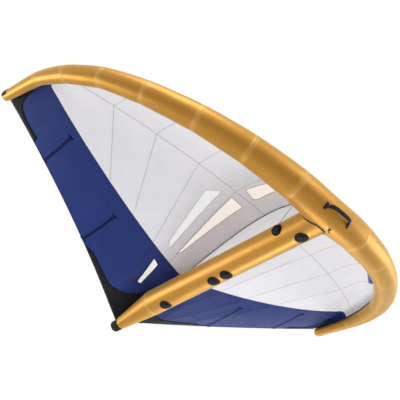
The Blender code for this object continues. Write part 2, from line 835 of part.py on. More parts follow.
def make_web():
    """Upright sheet between the top of the strut and the canopy."""
    drop = CLOTH / 2 + CLEARANCE + SEAM_GAP
    end = SLEEVE_END - OVERRUN
    places = [y for y in root_rows() if y < end]
    upper = [(y, root_height(y) - drop) for y in places[1:]]
    lower = [(y, strut_top(y) + CLEARANCE) for y in places[1:] if y < TAPER_START]
    lower.append((TAPER_START, strut_top(TAPER_START) + CLEARANCE))
    last_upper_share = (end - places[-1]) / (root_rows()[len(places)] - places[-1])
    last_z = mix(root_height(places[-1]), root_height(root_rows()[len(places)]), last_upper_share)
    upper.append((end, last_z - drop))
    lower.append((end, strut_top(end) + CLEARANCE))
    start_y, start_z = places[0], SEAM_POINTS[0].z
    second = upper[0]
    slope = (second[1] + drop - root_height(start_y)) / (second[0] - start_y)
    front_y = start_y + WEB_FRONT_ROOM
    upper.insert(0, (front_y, root_height(start_y) + slope * WEB_FRONT_ROOM - drop))
    lower.insert(0, (front_y + WEB_FRONT_ROOM, strut_top(front_y) + CLEARANCE))
    outline = upper + lower[::-1]
    count = len(outline)
    verts = [(x, y, z) for x in (-CLOTH / 2, CLOTH / 2) for y, z in outline]
    faces = [tuple(range(count)), tuple(range(2 * count - 1, count - 1, -1))]
    for k in range(count):
        following = (k + 1) % count
        faces.append((k, following, following + count, k + count))
    add_object("profile_web", verts, faces, (WHITE, 0.6))


def side_name(side):
    return "port" if side > 0 else "starboard"


def make_canopy(side):
    """Front strip, radial panels and trailing band of one half."""
    gap = SEAM_GAP / 2
    half = CLOTH / 2
    name = side_name(side)
    panels = {}
    front = draw_in(strip_grid(0, FRONT_COLUMN_COUNT, 0, FRONT_ROW_COUNT), gap, (True, True, False, True))
    key = "canopy_front_strip"
    panels[key] = slab(f"{key}_{name}", front, -half, half, side, (PALE, 0.6))
    bounds = [0, 1, 2, 3, 4, MAIN_COLUMN_COUNT]
    for number, (first, last) in enumerate(zip(bounds[:-1], bounds[1:]), start=1):
        grid = draw_in(strip_grid(first, last, 1, MAIN_ROW_COUNT), gap)
        key = f"canopy_panel_{number}"
        panels[key] = slab(f"{key}_{name}", grid, -half, half, side, (PALE, 0.6))
    band = draw_in(strip_grid(0, BAND_COLUMN_COUNT, 2, BAND_ROW_COUNT), gap)
    key = "canopy_trailing_band"
    panels[key] = slab(f"{key}_{name}", band, -half, half, side, (BLUE, 0.6))
    return panels


def panel_grid(key):
    """The grid that a panel was made on, for what is sewn to it."""
    gap = SEAM_GAP / 2
    if key == "canopy_front_strip":
        return draw_in(strip_grid(0, FRONT_COLUMN_COUNT, 0, FRONT_ROW_COUNT), gap, (True, True, False, True))
    if key == "canopy_trailing_band":
        return draw_in(strip_grid(0, BAND_COLUMN_COUNT, 2, BAND_ROW_COUNT), gap)
    number = int(key[-1])
    return draw_in(strip_grid(number - 1, number, 1, MAIN_ROW_COUNT), gap)


def make_window(key, side, panels):
    """Clear film in its own cut-out."""
    name = side_name(side)
    panel_key = WINDOW_PANELS[key]
    outline = plan_outline(WINDOW_SHARES[key], ROOT_CHORD)
    cut(panels[panel_key], prism(f"{key}_hole_guide_{name}", outline, side))
    half = CLOTH / 2
    film = slab(f"{key}_{name}", panel_grid(panel_key), -half, half, side, (CREAM, 0.25))
    keep_inside(film, prism(f"{key}_guide_{name}", outline, side, SEAM_GAP))


def under_patch(key, panel_key, outline, side, look):
    """Patch sewn under a panel, parallel to it."""
    name = side_name(side)
    top = -CLOTH / 2 - CLEARANCE
    patch = slab(f"{key}_{name}", panel_grid(panel_key), top - PATCH_CLOTH, top, side, look)
    keep_inside(patch, prism(f"{key}_guide_{name}", outline, side))
    return patch


def batten_outline(place, width, end_room):
    """Plan outline of a batten or its pocket, along the chord."""
    x, front, back = place
    low, high = band_place(x, front), band_place(x, back)
    half, room = Vector((width / 2, 0)), Vector((0, end_room))
    return [low - half - room, low + half - room, high + half + room, high - half + room]


def make_batten(number, place, side):
    """Stiff batten on the under side, held by a pocket of cloth."""
    name = side_name(side)
    grid = panel_grid("canopy_trailing_band")
    top = -CLOTH / 2 - CLEARANCE
    low = top - BATTEN_THICKNESS
    batten = slab(f"batten_{number}_{name}", grid, low, top, side, (BLACK, 0.4))
    shape = batten_outline(place, BATTEN_WIDTH, 0.0)
    keep_inside(batten, prism(f"batten_{number}_guide_{name}", shape, side))
    top = low - CLEARANCE
    pocket = slab(f"batten_pocket_{number}_{name}", grid, top - PATCH_CLOTH, top, side, (BLUE, 0.6))
    shape = batten_outline(place, POCKET_WIDTH, POCKET_END)
    keep_inside(pocket, prism(f"batten_pocket_{number}_guide_{name}", shape, side))


# Pieces that hug a tube

def hugging_ring(tube_radius, radius, height, flat, sides):
    """Ring that follows the tube, or lies in a flat plane over it."""
    points = []
    for s in range(sides):
        angle = 2 * math.pi * s / sides
        arc, along = radius * math.cos(angle), radius * math.sin(angle)
        if flat:
            points.append(Vector((arc, along, height)))
        else:
            turn = arc / tube_radius
            reach = tube_radius + height
            points.append(Vector((reach * math.sin(turn), along, reach * math.cos(turn) - tube_radius)))
    return points


def strut_frame(y, angle):
    """Frame on the strut's surface: X round it, Y along it, Z outward."""
    out = Vector((math.cos(angle), 0, math.sin(angle)))
    along = Vector((0, 1, 0))
    centre = Vector((0, y, strut_axis(y))) + out * strut_radius(y)
    return frame_matrix(centre, along.cross(out), along, out)


def frame_matrix(centre, x_axis, y_axis, z_axis):
    matrix = Matrix((x_axis, y_axis, z_axis)).transposed().to_4x4()
    matrix.translation = centre
    return matrix


def make_handle_plate(number, y):
    """Moulded plate with a flat boss that a handle screws to."""
    frame = strut_frame(y, -90 * DEG)
    top = PLATE_SEAT + PLATE_THICKNESS

    def ring(radius, height, flat=False):
        return hugging_ring(STRUT_RADIUS, radius, height, flat, PLATE_SIDES)

    rings = [ring(PLATE_RADIUS * share, PLATE_SEAT) for share in SEAT_RING_SHARES]
    rings += [
        ring(PLATE_RADIUS, PLATE_SEAT),
        ring(PLATE_RADIUS, top - PLATE_EDGE),
        ring(PLATE_RADIUS - PLATE_EDGE, top),
        ring((PLATE_RADIUS + PLATE_BOSS_RADIUS) / 2, top),
        ring(PLATE_BOSS_RADIUS + PLATE_EDGE, top),
        ring(PLATE_BOSS_RADIUS, PLATE_BOSS_HEIGHT, flat=True),
    ]
    inner_pole = Vector((0, 0, PLATE_SEAT))
    top_pole = Vector((0, 0, PLATE_BOSS_HEIGHT))
    plate = loft(f"handle_plate_{number}", rings, (BLACK, 0.5), poles=(inner_pole, top_pole),
                 parent_matrix=frame)
    for end in (-1, 1):
        cut(plate, screw_guide(number, end, frame))


def screw_guide(number, end, frame):
    place = Vector((0, end * SCREW_SPACING / 2, 0))
    rings = []
    for height in (PLATE_BOSS_HEIGHT - SCREW_HOLE_DEPTH, PLATE_BOSS_HEIGHT + OVERRUN):
        rings.append(circle(place + UP * height, SCREW_HOLE_RADIUS,
                            Vector((1, 0, 0)), Vector((0, 1, 0)), 12))
    label = "front" if end < 0 else "rear"
    return loft(f"screw_guide_{number}_{label}", rings, None, parent_matrix=frame)


# Valve

def turned(name, profile, look, frame, closed=True, poles=(None, None)):
    """Turned solid from radius and height pairs."""
    rings = [
        circle(Vector((0, 0, height)), radius, Vector((1, 0, 0)), Vector((0, 1, 0)), VALVE_SIDES)
        for radius, height in profile
    ]
    return loft(name, rings, look, closed=closed, poles=poles, parent_matrix=frame)


def valve_frame():
    return strut_frame(VALVE_PLACE, VALVE_ANGLE)


def valve_guide(name):
    """Cutting tool for the hole that the valve's neck passes through."""
    radius = VALVE_BORE_RADIUS + VALVE_NECK_WALL + CLEARANCE
    depth = VALVE_DEPTH + OVERRUN
    return turned(name, ((radius, -depth), (radius, OVERRUN)), None, valve_frame(), closed=False)


def make_valve_seat():
    neck = VALVE_BORE_RADIUS + VALVE_NECK_WALL
    collar = VALVE_BORE_RADIUS + VALVE_COLLAR_WALL
    top = PLATE_SEAT + PLATE_THICKNESS

    def ring(radius, height, flat=False):
        return hugging_ring(STRUT_RADIUS, radius, height, flat, VALVE_SIDES)

    rings = [
        ring(neck, PLATE_SEAT),
        ring((neck + VALVE_FLANGE_RADIUS) / 2, PLATE_SEAT),
        ring(VALVE_FLANGE_RADIUS, PLATE_SEAT),
        ring(VALVE_FLANGE_RADIUS, top - PLATE_EDGE),
        ring(VALVE_FLANGE_RADIUS - PLATE_EDGE, top),
        ring(collar + PLATE_EDGE, top),
        ring(collar, VALVE_COLLAR_HEIGHT, flat=True),
        ring(VALVE_BORE_RADIUS, VALVE_COLLAR_HEIGHT, flat=True),
        ring(VALVE_BORE_RADIUS, -VALVE_DEPTH, flat=True),
        ring(neck, -VALVE_DEPTH, flat=True),
    ]
    loft("valve_seat", rings, (BLACK, 0.45), closed=True, parent_matrix=valve_frame())


def core_radius():
    return VALVE_BORE_RADIUS - CLEARANCE


def make_valve_core():
    """Twist-in core with the nozzle bore above and a flap room below."""
    outer = core_radius()
    top = VALVE_COLLAR_HEIGHT - CLEARANCE
    floor = -CORE_FLOOR_DEPTH
    under = floor - CORE_FLOOR
    skirt = -VALVE_DEPTH + CLEARANCE
    room = outer - CORE_SKIRT_WALL
    guide = PIN_RADIUS + CLEARANCE
    profile = (
        (outer, top), (outer, skirt), (room, skirt), (room, under),
        (guide, under), (guide, floor), (CORE_NOZZLE_RADIUS, floor), (CORE_NOZZLE_RADIUS, top),
    )
    core = turned("valve_core", profile, (BLACK, 0.4), valve_frame())
    for step in range(VENT_COUNT):
        cut(core, vent_guide(step))


def vent_guide(step):
    angle = 2 * math.pi * (step + 0.5) / VENT_COUNT + math.pi / VALVE_SIDES
    reach = (CORE_NOZZLE_RADIUS + PIN_RADIUS + CLEARANCE) / 2
    place = Vector((reach * math.cos(angle), reach * math.sin(angle), 0))
    rings = []
    for height in (-CORE_FLOOR_DEPTH - CORE_FLOOR - VENT_RADIUS, -CORE_FLOOR_DEPTH + VENT_RADIUS):
        rings.append(circle(place + UP * height, VENT_RADIUS, Vector((1, 0, 0)), Vector((0, 1, 0)), 8))
    return loft(f"vent_guide_{step + 1}", rings, None, parent_matrix=valve_frame())


def make_valve_pin():
    """Spring-loaded pin with a button above the floor and a flap below."""
    flap_top = -CORE_FLOOR_DEPTH - CORE_FLOOR - CLEARANCE
    flap_low = flap_top - PIN_FLAP
    button_low = -CORE_FLOOR_DEPTH + PIN_TRAVEL + CLEARANCE
    button_top = button_low + PIN_BUTTON_HEIGHT
    flap_radius = core_radius() - CORE_SKIRT_WALL - CLEARANCE * 3
    profile = (
        (flap_radius, flap_low), (flap_radius, flap_top), (PIN_RADIUS, flap_top),
        (PIN_RADIUS, button_low), (PIN_BUTTON_RADIUS, button_low), (PIN_BUTTON_RADIUS, button_top),
    )
    poles = (Vector((0, 0, flap_low)), Vector((0, 0, button_top)))
    turned("valve_pin", profile, (FILM_GREY, 0.4), valve_frame(), closed=False, poles=poles)


def cap_hinge_frame():
    """Frame on the cap's hinge, with X along the hinge line."""
    collar = VALVE_BORE_RADIUS + VALVE_COLLAR_WALL
    offset = Vector((0, -collar - CAP_WALL - CAP_PIN_RADIUS, VALVE_COLLAR_HEIGHT))
    return valve_frame() @ Matrix.Translation(offset)


def make_valve_cap():
    """Lid over the collar, on a hinge at its front edge."""
    collar = VALVE_BORE_RADIUS + VALVE_COLLAR_WALL
    reach = collar + CAP_WALL
    centre = Vector((0, reach + CAP_PIN_RADIUS, 0))
    low, high = CLEARANCE * 2, CLEARANCE * 2 + CAP_WALL
    inner = collar + CLEARANCE * 3
    profile = (
        (inner, -CAP_SKIRT), (reach, -CAP_SKIRT), (reach, high - PLATE_EDGE),
        (reach - PLATE_EDGE, high),
    )
    rings = [[p + centre for p in circle(Vector((0, 0, h)), r, Vector((1, 0, 0)), Vector((0, 1, 0)), VALVE_SIDES)]
             for r, h in ((inner, low),) + profile]
    poles = (centre + UP * low, centre + UP * high)
    cap = loft("valve_cap", rings, (BLACK, 0.35), poles=poles, parent_matrix=cap_hinge_frame())
    ends = [Vector((-CAP_PIN_LENGTH / 2, 0, 0)), Vector((CAP_PIN_LENGTH / 2, 0, 0))]
    pin = add_tube("cap_pin_guide", ends, CAP_PIN_RADIUS + PLATE_EDGE, 10, None,
                   parent_matrix=cap_hinge_frame())
    cut(cap, pin)
    cap.modifiers[-1].operation = "UNION"


# Front handle and leash loop

def edge_frame(x, angle):
    """Frame on the centre run of the leading edge: X along it, Z outward."""
    side = 1 if x > 0 else -1
    centre, tip = kink_point(0), kink_point(side)
    along = (tip - centre).normalized() * side
    out = Vector((0, -math.cos(angle), -math.sin(angle)))
    out = (out - along * out.dot(along)).normalized()
    share = (x - out.x * LE_CENTRE_RADIUS) / tip.x
    radius = mix(LE_CENTRE_RADIUS, le_radius(side), share)
    place = mix(centre, tip, share) + out * radius
    return frame_matrix(place, along, out.cross(along), out), radius


def hugging_tab(name, x, angle, width, length, look):
    """Sewn tab that follows the round of the leading edge."""
    frame, radius = edge_frame(x, angle)
    low, high = TAB_SEAT, TAB_SEAT + TAB_THICKNESS
    rings = []
    for step in range(TAB_STEPS + 1):
        turn = (step / TAB_STEPS - 0.5) * length / radius
        ring = []
        for across, height in ((-1, low), (1, low), (1, high), (-1, high)):
            reach = radius + height
            ring.append(Vector((across * width / 2, -reach * math.sin(turn), reach * math.cos(turn) - radius)))
        rings.append(ring)
    loft(name, rings, look, parent_matrix=frame)


def handle_hinge():
    """Centre of the line that the handle swings on."""
    frame, radius = edge_frame(HANDLE_HALF_SPAN, HANDLE_ANGLE)
    height = TAB_SEAT + TAB_THICKNESS + CLEARANCE + STRAP_WIDTH / 2
    point = frame @ Vector((0, 0, height))
    return Vector((0, point.y, point.z))


def handle_frame():
    out = Vector((0, -math.cos(HANDLE_ANGLE), -math.sin(HANDLE_ANGLE)))
    along = Vector((1, 0, 0))
    return frame_matrix(handle_hinge(), along, out.cross(along), out)


def make_front_handle():
    """Strap that arches between its two round-ended lugs."""
    look = (BLACK, 0.7)
    for side in (-1, 1):
        hugging_tab(f"front_handle_tab_{side_name(side)}", side * HANDLE_HALF_SPAN, HANDLE_ANGLE,
                    TAB_WIDTH, TAB_LENGTH, look)
    half = STRAP_WIDTH / 2
    stations = []
    for angle in LUG_ANGLES:
        stations.append((Vector((-HANDLE_HALF_SPAN, 0, -half * math.sin(angle))), half * math.cos(angle)))
    for step in range(ARCH_STEPS + 1):
        turn = math.pi * step / ARCH_STEPS
        x = -HANDLE_HALF_SPAN * math.copysign(abs(math.cos(turn)) ** ARCH_POWER, math.cos(turn))
        z = HANDLE_RISE * abs(math.sin(turn)) ** ARCH_RISE_POWER
        stations.append((Vector((x, 0, z)), half))
    mirrored = [(Vector((-p.x, 0, p.z)), w) for p, w in stations[:len(LUG_ANGLES)]]
    stations += mirrored[::-1]
    points = [point for point, _ in stations]
    rings = []
    for k, (point, width) in enumerate(stations):
        along = (points[min(k + 1, len(points) - 1)] - points[max(k - 1, 0)]).normalized()
        across = Vector((0, 1, 0))
        out = along.cross(across).normalized()
        ring = []
        for side, depth in ((-1, -1), (1, -1), (1, 1), (-1, 1)):
            ring.append(point + across * side * width + out * depth * STRAP_THICKNESS / 2)
        rings.append(ring)
    loft("front_handle", rings, look, parent_matrix=handle_frame())


def loop_frame():
    frame, _ = edge_frame(LOOP_PLACE, 90 * DEG)
    height = TAB_SEAT + TAB_THICKNESS + CLEARANCE + LOOP_CORD_RADIUS
    return frame @ Matrix.Translation(UP * height)


def make_leash_loop():
    hugging_tab("leash_tab", LOOP_PLACE, 90 * DEG, LOOP_TAB_WIDTH, LOOP_TAB_LENGTH, (BLACK, 0.7))
    corner = LOOP_CORD_RADIUS * 2
    half = LOOP_WIDTH / 2
    centres = ((half - corner, corner), (half - corner, LOOP_LENGTH - half),
               (-half + corner, LOOP_LENGTH - half), (-half + corner, corner))
    radii = (corner, half, half, corner)
    points = []
    for quarter, ((cx, cz), radius) in enumerate(zip(centres, radii)):
        if radius == half:
            cx = 0.0
        for step in range(4):
            turn = (quarter - 1) * math.pi / 2 + step * math.pi / 6
            points.append(Vector((cx + radius * math.cos(turn), 0, cz + radius * math.sin(turn))))
    unique = [p for k, p in enumerate(points) if (p - points[k - 1]).length > CLEARANCE]
    add_tube("leash_loop", unique, LOOP_CORD_RADIUS, 8, (BLACK, 0.7), closed=True,
             parent_matrix=loop_frame())


def carry_point():
    """Centre of the flat face that the wing is carried by."""
    y = PLATE_SHARES[CARRY_PLATE_INDEX] * ROOT_CHORD
    return strut_frame(y, -90 * DEG) @ Vector((0, 0, PLATE_BOSS_HEIGHT))


def add_wing_empty():
    """Empty that puts the origin at the carrying face."""
    empty = bpy.data.objects.new("wing_origin", None)
    bpy.context.scene.collection.objects.link(empty)
    empty.location = -carry_point()
    return empty


def build_half(side):
    panels = make_canopy(side)
    for key in WINDOW_SHARES:
        make_window(key, side, panels)
    tail = [band_place(x, share) for x, share in TAIL_PATCH_SHARES]
    under_patch("tail_patch", "canopy_trailing_band", tail, side, (BLACK, 0.6))
    tip = plan_outline(TIP_PATCH_SHARES, SWEEP)
    under_patch("tip_patch", "canopy_trailing_band", tip, side, (BLACK, 0.6))
    tab = plan_outline(EDGE_TAB_SHARES, SWEEP)
    under_patch("edge_tab", "canopy_front_strip", tab, side, (BLUE, 0.6))
    for number, place in enumerate(BATTEN_SHARES, start=1):
        make_batten(number, place, side)
    make_tip_cap(side)


def build():
    make_leading_edge()
    make_leading_edge_bladder()
    make_strut_sleeve()
    make_strut_bladder()
    make_hose()
    make_end_cap()
    make_piping()
    make_web()
    for side in (1, -1):
        build_half(side)
    for number, share in enumerate(PLATE_SHARES, start=1):
        make_handle_plate(number, share * ROOT_CHORD)
    make_valve_seat()
    make_valve_core()
    make_valve_pin()
    make_valve_cap()
    make_front_handle()
    make_leash_loop()


clear_scene()
WING = add_wing_empty()
build()
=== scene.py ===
"""Looks of an inflatable foiling wing, seen from below and from its starboard front.

The wing lies as it is carried: +X to port, +Y back to the trailing edge, +Z up,
with the origin at the carrying face under the strut. Every cloth piece is drawn
on one form, which gives the axis of the leading edge, the strut and the canopy.
"""

import json
import math

import bpy
import numpy as np
from bpy.props import FloatProperty, FloatVectorProperty, PointerProperty
from mathutils import Matrix, Vector, geometry, noise


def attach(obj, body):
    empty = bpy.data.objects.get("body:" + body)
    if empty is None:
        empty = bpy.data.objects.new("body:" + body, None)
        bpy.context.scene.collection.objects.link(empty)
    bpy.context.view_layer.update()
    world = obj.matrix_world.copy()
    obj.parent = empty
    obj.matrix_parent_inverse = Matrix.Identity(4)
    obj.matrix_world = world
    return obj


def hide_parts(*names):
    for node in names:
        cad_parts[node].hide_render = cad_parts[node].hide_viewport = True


bl_info = {
    "name": "Foiling wing looks",
    "version": (1, 0, 0),
    "blender": (4, 5, 0),
    "location": "View3D > Sidebar > Foiling wing",
    "description": "Sewn canopy, air tubes and fittings of an inflatable foiling wing",
    "category": "Object",
}

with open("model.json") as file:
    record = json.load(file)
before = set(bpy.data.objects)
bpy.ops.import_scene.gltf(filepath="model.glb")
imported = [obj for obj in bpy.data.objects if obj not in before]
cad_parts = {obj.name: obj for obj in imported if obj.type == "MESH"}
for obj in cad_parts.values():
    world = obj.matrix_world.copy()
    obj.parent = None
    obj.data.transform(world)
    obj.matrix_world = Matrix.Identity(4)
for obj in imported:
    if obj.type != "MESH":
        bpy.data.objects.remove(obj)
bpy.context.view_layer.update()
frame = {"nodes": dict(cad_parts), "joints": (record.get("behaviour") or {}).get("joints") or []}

MM = 0.001
DEG = math.pi / 180.0
UP = Vector((0, 0, 1))
PORT = Vector((1, 0, 0))
ORIGIN = Vector((0, -841 * MM, 117 * MM))

# Axis of the leading edge at its kinks: shares of half span, sweep, tip rise
# and centre radius
KINK_SHARES = (
    (0.170, 0.016, 0.045, 0.940),
    (0.362, 0.073, 0.164, 0.858),
    (0.544, 0.168, 0.319, 0.775),
    (0.713, 0.300, 0.502, 0.690),
    (0.840, 0.443, 0.670, 0.610),
    (0.925, 0.599, 0.803, 0.540),
    (0.974, 0.755, 0.902, 0.428),
    (1.000, 1.000, 1.000, 0.322),
)
LAST_KINK = len(KINK_SHARES)
CENTRE_SET_BACK = 10 * MM
SEAM_ANGLE = 45 * DEG

# Columns of the canopy: place along the leading edge, then half spans on the
# long seam, the band seam and the trailing edge
COLUMN_SHARES = (
    (0.0, 0.000, 0.000, 0.000),
    (1.0, 0.161, 0.090, 0.026),
    (2.0, 0.340, 0.203, 0.070),
    (3.0, 0.528, 0.342, 0.140),
    (4.0, 0.707, 0.503, 0.215),
    (5.0, 0.825, 0.703, 0.480),
    (6.0, 0.904, 0.843, 0.703),
    (6.5, 0.9235, 0.905, 0.800),
    (7.0, 0.9500, 0.9515, 0.890),
    (8.0, 0.9800, 0.9800, 0.9800),
)
SEAM_END_SHARE = 0.04
FRONT_LAST = 7
MAIN_LAST = 8
SEWN_COLUMNS = (1, 2, 3, 4)
LONG_SEAM_SHARES = (0.2701, 0.7579, -0.2146)
BAND_SEAM_SHARES = (0.6544, 0.7801, 0.1159)

WINDOW_SHARES = {
    "outer": ((0.236, 0.361), (0.194, 0.316), (0.140, 0.590), (0.134, 0.606), (0.163, 0.583)),
    "inner": ((0.149, 0.308), (0.084, 0.308), (0.090, 0.580), (0.097, 0.600)),
    "front": ((0.145, 0.250), (0.128, 0.130), (0.084, 0.130), (0.080, 0.240), (0.092, 0.257)),
    "rear": ((0.144, 0.672), (0.111, 0.679), (0.078, 0.799), (0.096, 0.802)),
}
TAIL_PATCH_SHARES = (
    (0.003, 0.795), (0.034, 0.814), (0.0745, 0.869), (0.144, 0.8955),
    (0.227, 0.8755), (0.319, 0.847), (0.361, 0.859),
)
TIP_PATCH_SHARES = (
    (0.9400, 0.640), (0.9400, 0.700), (0.920, 0.720), (0.876, 0.735), (0.800, 0.740),
)
EDGE_TAB_SHARES = ((0.588, 0.222), (0.700, 0.285))
BATTEN_SHARES = ((0.386, 0.675), (0.724, 0.620))

PLATE_PLACES = (197 * MM, 841 * MM, 957 * MM, 1440 * MM)
VALVE_PLACE = 330 * MM
VALVE_ANGLE = -170 * DEG

# The strut is sunk round the valve, in full inside its neck
VALVE_HOLE = 34 * MM
VALVE_NECK = 24 * MM
VALVE_SINK = 22 * MM

# Trailing edge: its height at the root and the tips, and how far it bows back
# and dips between them, as shares of the difference
TRAILING_ROOT = -19 * MM
TRAILING_TIP = 672 * MM
TRAILING_RISE = 691 * MM
TRAILING_BOW = 0.190
TRAILING_DIP = 0.0775

# Section of the canopy: the two powers of its arch and the reach of a billow
ARCH_RISE = 0.8
ARCH_FALL = 2.35
ARCH_PEAK = ARCH_RISE / (ARCH_RISE + ARCH_FALL)
BILLOW_REACH = 90 * MM

# Room between strut and canopy that the web fills, at the front and the tail
WEB_GAP = 9 * MM
WEB_TAIL_GAP = 1.5 * MM
ROOT_LIFT_WIDTH = 250 * MM
WEB_SEAM_FOOT = -376 * MM
WEB_SEAM_HEAD = -545 * MM
WEB_ROWS = 10

# Sewn laps of the tubes: rows of points over one, in millimetres, its edge and
# lift, how far along the tube a kink is felt, and the distance taken as plain
LAP_OFFSETS = (-9, -8, -7.5, -4, 0, 4, 7.5, 8, 9)
LAP_EDGE = 7.7 * MM
LAP_LIFT = 0.5 * MM
KINK_REACH = 45 * MM
PLAIN = 50 * MM
TUBE_SIDES = 72
SEAM_LIFT = 0.6 * MM

# Steps along seams and tapes and the spacing of the points of a sheet
EDGE_STEP = 14 * MM
TAPE_STEP = 12 * MM
TAPE_CROWN = 0.5 * MM
SHEET_SPACING = 20 * MM
SHEET_ROW = 0.87
SHEET_ROOM = 0.45
SHEET_BATCH = 2000
SOFT_EDGE = 60 * DEG
WINDOW_CORNER = 8 * MM
LINE_STEPS = 6
PATCH_SPACING = 18 * MM
LAY_PITCH = 6 * MM
GUARD_REACH = 44 * MM
STRAP_ANGLE = 40 * DEG
BLUE_SHEEN = (0.62, 0.68, 1.0)

# Place of the camera and its directions to the right, up and back
CAMERA_PLACE = Vector((-2.53503, -3.12429, -3.05191))
CAMERA_AXES = (
    Vector((0.709565, -0.684632, 0.166724)),
    Vector((-0.561969, -0.407085, 0.720051)),
    Vector((-0.425098, -0.604617, -0.673595)),
)

# Point that the lamps look at, then each lamp's name, place, size and power
LAMP_TARGET = Vector((0, -0.1, 0.15))
LAMPS = (
    ("below", (3.0, 2.2, -3.5), 2.2, 155),
    ("port_front", (5.0, -2.5, 1.0), 3.0, 120),
    ("front_high", (0.9, -4.6, 2.2), 2.8, 60),
    ("starboard_high", (-3.1, -2.8, 3.7), 3.2, 150),
    ("starboard_rear", (-3.9, 3.75, -0.95), 2.6, 140),
    ("port_rear", (3.9, 3.9, -0.4), 1.6, 14),
)

# Floor: half its side, its height, its colour and how much of it shines by itself
FLOOR_HALF = 30.0
FLOOR_HEIGHT = -3.9
FLOOR_PAPER = (0.90, 0.90, 0.90)
FLOOR_GLOW = 0.6


def metres(name, description, default):
    return FloatProperty(name=name, description=description, default=default, unit="LENGTH")


def factor(name, description, default):
    return FloatProperty(name=name, description=description, default=default, subtype="FACTOR")


def paint(name, description, default):
    return FloatVectorProperty(name=name, description=description, default=default,
                               subtype="COLOR", min=0, max=1)


class WingSizes(bpy.types.PropertyGroup):
    """Sizes of the wing, as its solids have them."""

    half_span: metres("Half span", "From the root to the axis at a tip", 1.637)
    sweep: metres("Sweep", "How far back the tips lie", 1.489)
    tip_rise: metres("Tip rise", "How far the tips stand over the centre", 0.646)
    edge_radius: metres("Leading edge radius", "Radius of the air tube at the centre", 0.1115)
    strut_radius: metres("Strut radius", "Radius of the strut's straight run", 0.090)
    strut_drop: metres("Strut drop", "Strut axis below the leading edge axis", 0.019)
    taper_start: metres("Taper start", "Where the strut starts to narrow", 1.600)
    sleeve_end: metres("Sleeve end", "Where the strut's cloth ends", 1.950)
    tail_radius: metres("Tail radius", "Radius of the strut at its cap", 0.047)
    root_chord: metres("Root chord", "Length of the canopy over the strut", 2.040)
    tip_chord_y: metres("Tip trailing place", "Trailing edge at the tips", 1.522)
    camber: factor("Camber", "Height of the canopy's arch as a share of its chord", 0.112)
    billow: metres("Billow", "How far the cloth lifts between its seams", 0.0035)
    seam_width: metres("Seam width", "Width of the sewn seams of the canopy", 0.0042)
    kink: factor("Kink", "How straight the leading edge runs between its seams", 0.5)


class FittingSizes(bpy.types.PropertyGroup):
    """Sizes of the plates, the valve, the strap and the caps."""

    plate_radius: metres("Plate radius", "Radius of a handle plate", 0.044)
    plate_seat: metres("Plate seat", "Underside of a plate over the cloth", 0.0007)
    plate_top: metres("Plate top", "Top of a plate's flange over the cloth", 0.0031)
    boss_radius: metres("Boss radius", "Radius of the boss a handle screws to", 0.022)
    boss_height: metres("Boss height", "Height of the boss over the cloth", 0.008)
    screw_spacing: metres("Screw spacing", "Between the two threaded inserts", 0.024)
    valve_flange: metres("Valve flange", "Radius of the valve's flange", 0.0395)
    valve_bore: metres("Valve bore", "Radius of the bore of the valve seat", 0.0205)
    collar_wall: metres("Collar wall", "Wall of the valve's collar", 0.0045)
    collar_height: metres("Collar height", "Height of the collar over the cloth", 0.009)
    valve_depth: metres("Valve depth", "How far the valve reaches into the strut", 0.016)
    cap_wall: metres("Cap wall", "Wall of the valve's cap", 0.003)
    strap_width: metres("Strap width", "Width of the grab strap at its ends", 0.027)
    strap_reach: metres("Strap reach", "From the centre to the end of the strap", 0.093)
    strap_rise: metres("Strap rise", "How far the strap arches from the tube", 0.031)
    tail_cap: metres("Tail cap", "Length of the cap on the strut", 0.090)
    tail_cap_radius: metres("Tail cap radius", "Radius of the cap on the strut", 0.0425)
    tip_cap: metres("Tip cap", "Length of the closed ends of the leading edge", 0.024)


class WingColours(bpy.types.PropertyGroup):
    """Colours of the cloths, films and mouldings."""

    gold: paint("Gold cloth", "Cloth of the air tubes", (0.46, 0.186, 0.006))
    gold_shade: paint("Gold shade", "Gold cloth in its folds", (0.36, 0.132, 0.004))
    canopy: paint("Canopy cloth", "Pale cloth of the canopy", (0.72, 0.72, 0.76))
    band: paint("Band cloth", "Blue cloth of the trailing band", (0.020, 0.036, 0.16))
    seam: paint("Seam tape", "Tape of the pale cloth's seams", (0.50, 0.50, 0.53))
    piping: paint("Window binding", "Binding of the cream windows", (0.46, 0.21, 0.09))
    cream_film: paint("Cream film", "Film of the inner and front windows", (0.95, 0.76, 0.54))
    clear_film: paint("Clear film", "Film of the outer and rear windows", (0.82, 0.83, 0.82))
    black: paint("Black", "Plates, valve and battens", (0.007, 0.007, 0.009))


class WingStage(bpy.types.PropertyGroup):
    """Camera and lamps."""

    lens: FloatProperty(name="Lens", description="Focal length of the camera",
                        default=69.4346, unit="CAMERA")
    sky: FloatProperty(name="Surround light", description="Level of the even light from all round",
                       default=0.52)
    lamp_level: factor("Lamp level", "Scales the power of every lamp", 1.0)


# Materials

class Value:
    """A value in a node tree. Sums on it add their Math nodes."""

    def __init__(self, tree, socket):
        self.tree = tree
        self.socket = socket

    def _math(self, operation, *values):
        return self.tree.add("ShaderNodeMath", {"operation": operation}, dict(enumerate(values)))

    def __add__(self, other):
        return self._math("ADD", self, other)

    def __radd__(self, other):
        return self._math("ADD", other, self)

    def __sub__(self, other):
        return self._math("SUBTRACT", self, other)

    def __rsub__(self, other):
        return self._math("SUBTRACT", other, self)

    def __mul__(self, other):
        return self._math("MULTIPLY", self, other)

    def __rmul__(self, other):
        return self._math("MULTIPLY", other, self)

    def __truediv__(self, other):
        return self._math("DIVIDE", self, other)

    def __rtruediv__(self, other):
        return self._math("DIVIDE", other, self)

    def __abs__(self):
        return self._math("ABSOLUTE", self)

    def __mod__(self, other):
        return self._math("FLOORED_MODULO", self, other)


